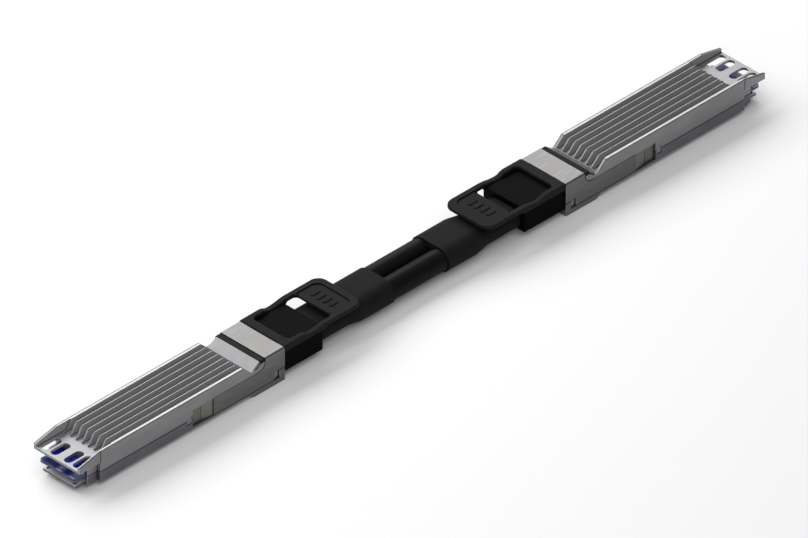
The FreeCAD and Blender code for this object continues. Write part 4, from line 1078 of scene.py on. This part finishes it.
class CABLE_OT_stage(bpy.types.Operator):
    """Set up the pale floor, the soft lights and the camera"""

    bl_idname = "cable.stage"
    bl_label = "Stage"

    def execute(self, context):
        scene = context.scene
        scene.view_settings.view_transform = "Standard"
        lay_floor(scene.cable_stage)
        set_surround(scene)
        hang_lights(scene.cable_stage)
        scene.camera = aim_camera(scene.cable_stage)
        return {"FINISHED"}


class CABLE_OT_cables(bpy.types.Operator):
    """Lay the two round cables between the strain reliefs"""

    bl_idname = "cable.cables"
    bl_label = "Cables"

    def execute(self, context):
        sizes = context.scene.cable_sizes
        jacket = extruded_jacket("extruded jacket", context.scene.cable_colours.jacket)
        reach, height = sizes.jacket_reach, sizes.cable_height
        for name, side in (("near", -1), ("far", 1)):
            y = side * sizes.cable_spacing / 2
            route = [(-reach, y, height), (0.0, y, height), (reach, y, height)]
            curve = bpy.data.curves.new(name + "_cable_jacket", "CURVE")
            curve.dimensions = "3D"
            spline = curve.splines.new("NURBS")
            spline.points.add(len(route) - 1)
            for point, place in zip(spline.points, route):
                point.co = (*place, 1.0)
            spline.order_u = 3
            spline.use_endpoint_u = True
            spline.resolution_u = 24
            curve.bevel_depth = sizes.jacket_diameter / 2
            curve.bevel_resolution = 12
            curve.use_fill_caps = True
            curve.materials.append(jacket)
            cable = add_object(name + "_cable_jacket", curve)
            settle(cable, "housing", ["cable_" + name])
        return {"FINISHED"}


class CABLE_OT_covers(bpy.types.Operator):
    """Finish the finned top shells"""

    bl_idname = "cable.covers"
    bl_label = "Top shells"

    def execute(self, context):
        cover_pieces(context)
        return {"FINISHED"}


class CABLE_OT_bases(bpy.types.Operator):
    """Finish the bottom shells and drill their lips"""

    bl_idname = "cable.bases"
    bl_label = "Bottom shells"

    def execute(self, context):
        base_pieces(context)
        return {"FINISHED"}


class CABLE_OT_sliders(bpy.types.Operator):
    """Finish the stamped release sliders"""

    bl_idname = "cable.sliders"
    bl_label = "Release sliders"

    def execute(self, context):
        edges, colours = context.scene.cable_edges, context.scene.cable_colours
        metal = sheet_metal("brushed stainless sheet", colours.slider, colours.bright)
        plain_pieces(
            "latch_slider", "release_slider", "release_{}", metal, edges.sheet
        )
        return {"FINISHED"}


class CABLE_OT_gaskets(bpy.types.Operator):
    """Finish the elastomer strips round the shells"""

    bl_idname = "cable.gaskets"
    bl_label = "Gaskets"

    def execute(self, context):
        edges, colours = context.scene.cable_edges, context.scene.cable_colours
        rubber = filled_elastomer("filled elastomer", colours.gasket)
        plain_pieces(
            "gasket_strip", "emi_gasket", "housing", rubber, edges.gasket, 3
        )
        return {"FINISHED"}


class CABLE_OT_tabs(bpy.types.Operator):
    """Finish the moulded pull tabs"""

    bl_idname = "cable.tabs"
    bl_label = "Pull tabs"

    def execute(self, context):
        tab_pieces(context)
        return {"FINISHED"}


class CABLE_OT_blocks(bpy.types.Operator):
    """Finish the moulded rear blocks"""

    bl_idname = "cable.blocks"
    bl_label = "Rear blocks"

    def execute(self, context):
        edges, colours = context.scene.cable_edges, context.scene.cable_colours
        plastic = moulded_plastic(
            "fine black moulding",
            colours.block,
            gloss=0.02,
            grain_size=0.15 * MM,
            depth=0.012 * MM,
            roughness=0.45,
        )
        plain_pieces(
            "cable_block", "rear_block", "housing", plastic, edges.moulded, 3
        )
        return {"FINISHED"}


class CABLE_OT_boots(bpy.types.Operator):
    """Finish the strain reliefs"""

    bl_idname = "cable.boots"
    bl_label = "Strain reliefs"

    def execute(self, context):
        edges, colours = context.scene.cable_edges, context.scene.cable_colours
        rubber = moulded_plastic(
            "soft black boot",
            colours.boot,
            gloss=0.06,
            grain_size=0.3 * MM,
            depth=0.02 * MM,
            roughness=0.55,
        )
        plain_pieces("cable_boot", "strain_relief", "housing", rubber, edges.moulded)
        return {"FINISHED"}


class CABLE_OT_cards(bpy.types.Operator):
    """Finish the paddle cards and their contacts"""

    bl_idname = "cable.cards"
    bl_label = "Cards"

    def execute(self, context):
        edges, colours = context.scene.cable_edges, context.scene.cable_colours
        card_pieces(context)
        gold = plated_metal("hard gold", colours.gold, 0.4)
        for suffix in ENDS:
            dress_node("contact_pads_" + suffix, gold, edges.small)
        return {"FINISHED"}


class CABLE_OT_springs(bpy.types.Operator):
    """Wind the return springs"""

    bl_idname = "cable.springs"
    bl_label = "Return springs"

    def execute(self, context):
        spring_pieces(context)
        return {"FINISHED"}


class CABLE_OT_cores(bpy.types.Operator):
    """Braid the shields of the cables' cores"""

    bl_idname = "cable.cores"
    bl_label = "Braided cores"

    def execute(self, context):
        core_pieces(context)
        return {"FINISHED"}


class CABLE_OT_screws(bpy.types.Operator):
    """Finish the housing screws"""

    bl_idname = "cable.screws"
    bl_label = "Housing screws"

    def execute(self, context):
        screw_pieces(context)
        return {"FINISHED"}


class CABLE_OT_small_parts(bpy.types.Operator):
    """Finish the crimp rings and wire pairs"""

    bl_idname = "cable.small_parts"
    bl_label = "Small parts"

    def execute(self, context):
        edges, colours = context.scene.cable_edges, context.scene.cable_colours
        brass = plated_metal("crimped brass", colours.brass, 0.3)
        foil = foil_wrap("lapped foil", colours.foil)
        for suffix in ENDS:
            dress_node("crimp_rings_" + suffix, brass, edges.small)
            dress_node("twinax_pairs_" + suffix, foil, edges.small)
        return {"FINISHED"}


STEPS = (
    CABLE_OT_stage,
    CABLE_OT_cables,
    CABLE_OT_covers,
    CABLE_OT_bases,
    CABLE_OT_sliders,
    CABLE_OT_gaskets,
    CABLE_OT_tabs,
    CABLE_OT_blocks,
    CABLE_OT_boots,
    CABLE_OT_cards,
    CABLE_OT_springs,
    CABLE_OT_cores,
    CABLE_OT_screws,
    CABLE_OT_small_parts,
)
SETTINGS = (
    ("cable_edges", CableEdges),
    ("cable_colours", CableColours),
    ("cable_marks", CableMarks),
    ("cable_sizes", CableSizes),
    ("cable_stage", CableStage),
)


class CABLE_PT_finish(bpy.types.Panel):
    """Steps and settings of the cable's finish"""

    bl_idname = "CABLE_PT_finish"
    bl_label = "Cable finish"
    bl_space_type = "VIEW_3D"
    bl_region_type = "UI"
    bl_category = "Cable"

    def draw(self, context):
        for step in STEPS:
            self.layout.operator(step.bl_idname)
        for name, group in SETTINGS:
            box = self.layout.box()
            for setting in group.__annotations__:
                box.prop(getattr(context.scene, name), setting)


def register():
    for name, group in SETTINGS:
        bpy.utils.register_class(group)
        setattr(bpy.types.Scene, name, PointerProperty(type=group))
    for step in STEPS:
        bpy.utils.register_class(step)
    bpy.utils.register_class(CABLE_PT_finish)


def unregister():
    bpy.utils.unregister_class(CABLE_PT_finish)
    for step in reversed(STEPS):
        bpy.utils.unregister_class(step)
    for name, group in reversed(SETTINGS):
        delattr(bpy.types.Scene, name)
        bpy.utils.unregister_class(group)


def main():
    register()
    for step in STEPS:
        group, name = step.bl_idname.split(".")
        getattr(getattr(bpy.ops, group), name)()


if __name__ == "__main__":
    main()
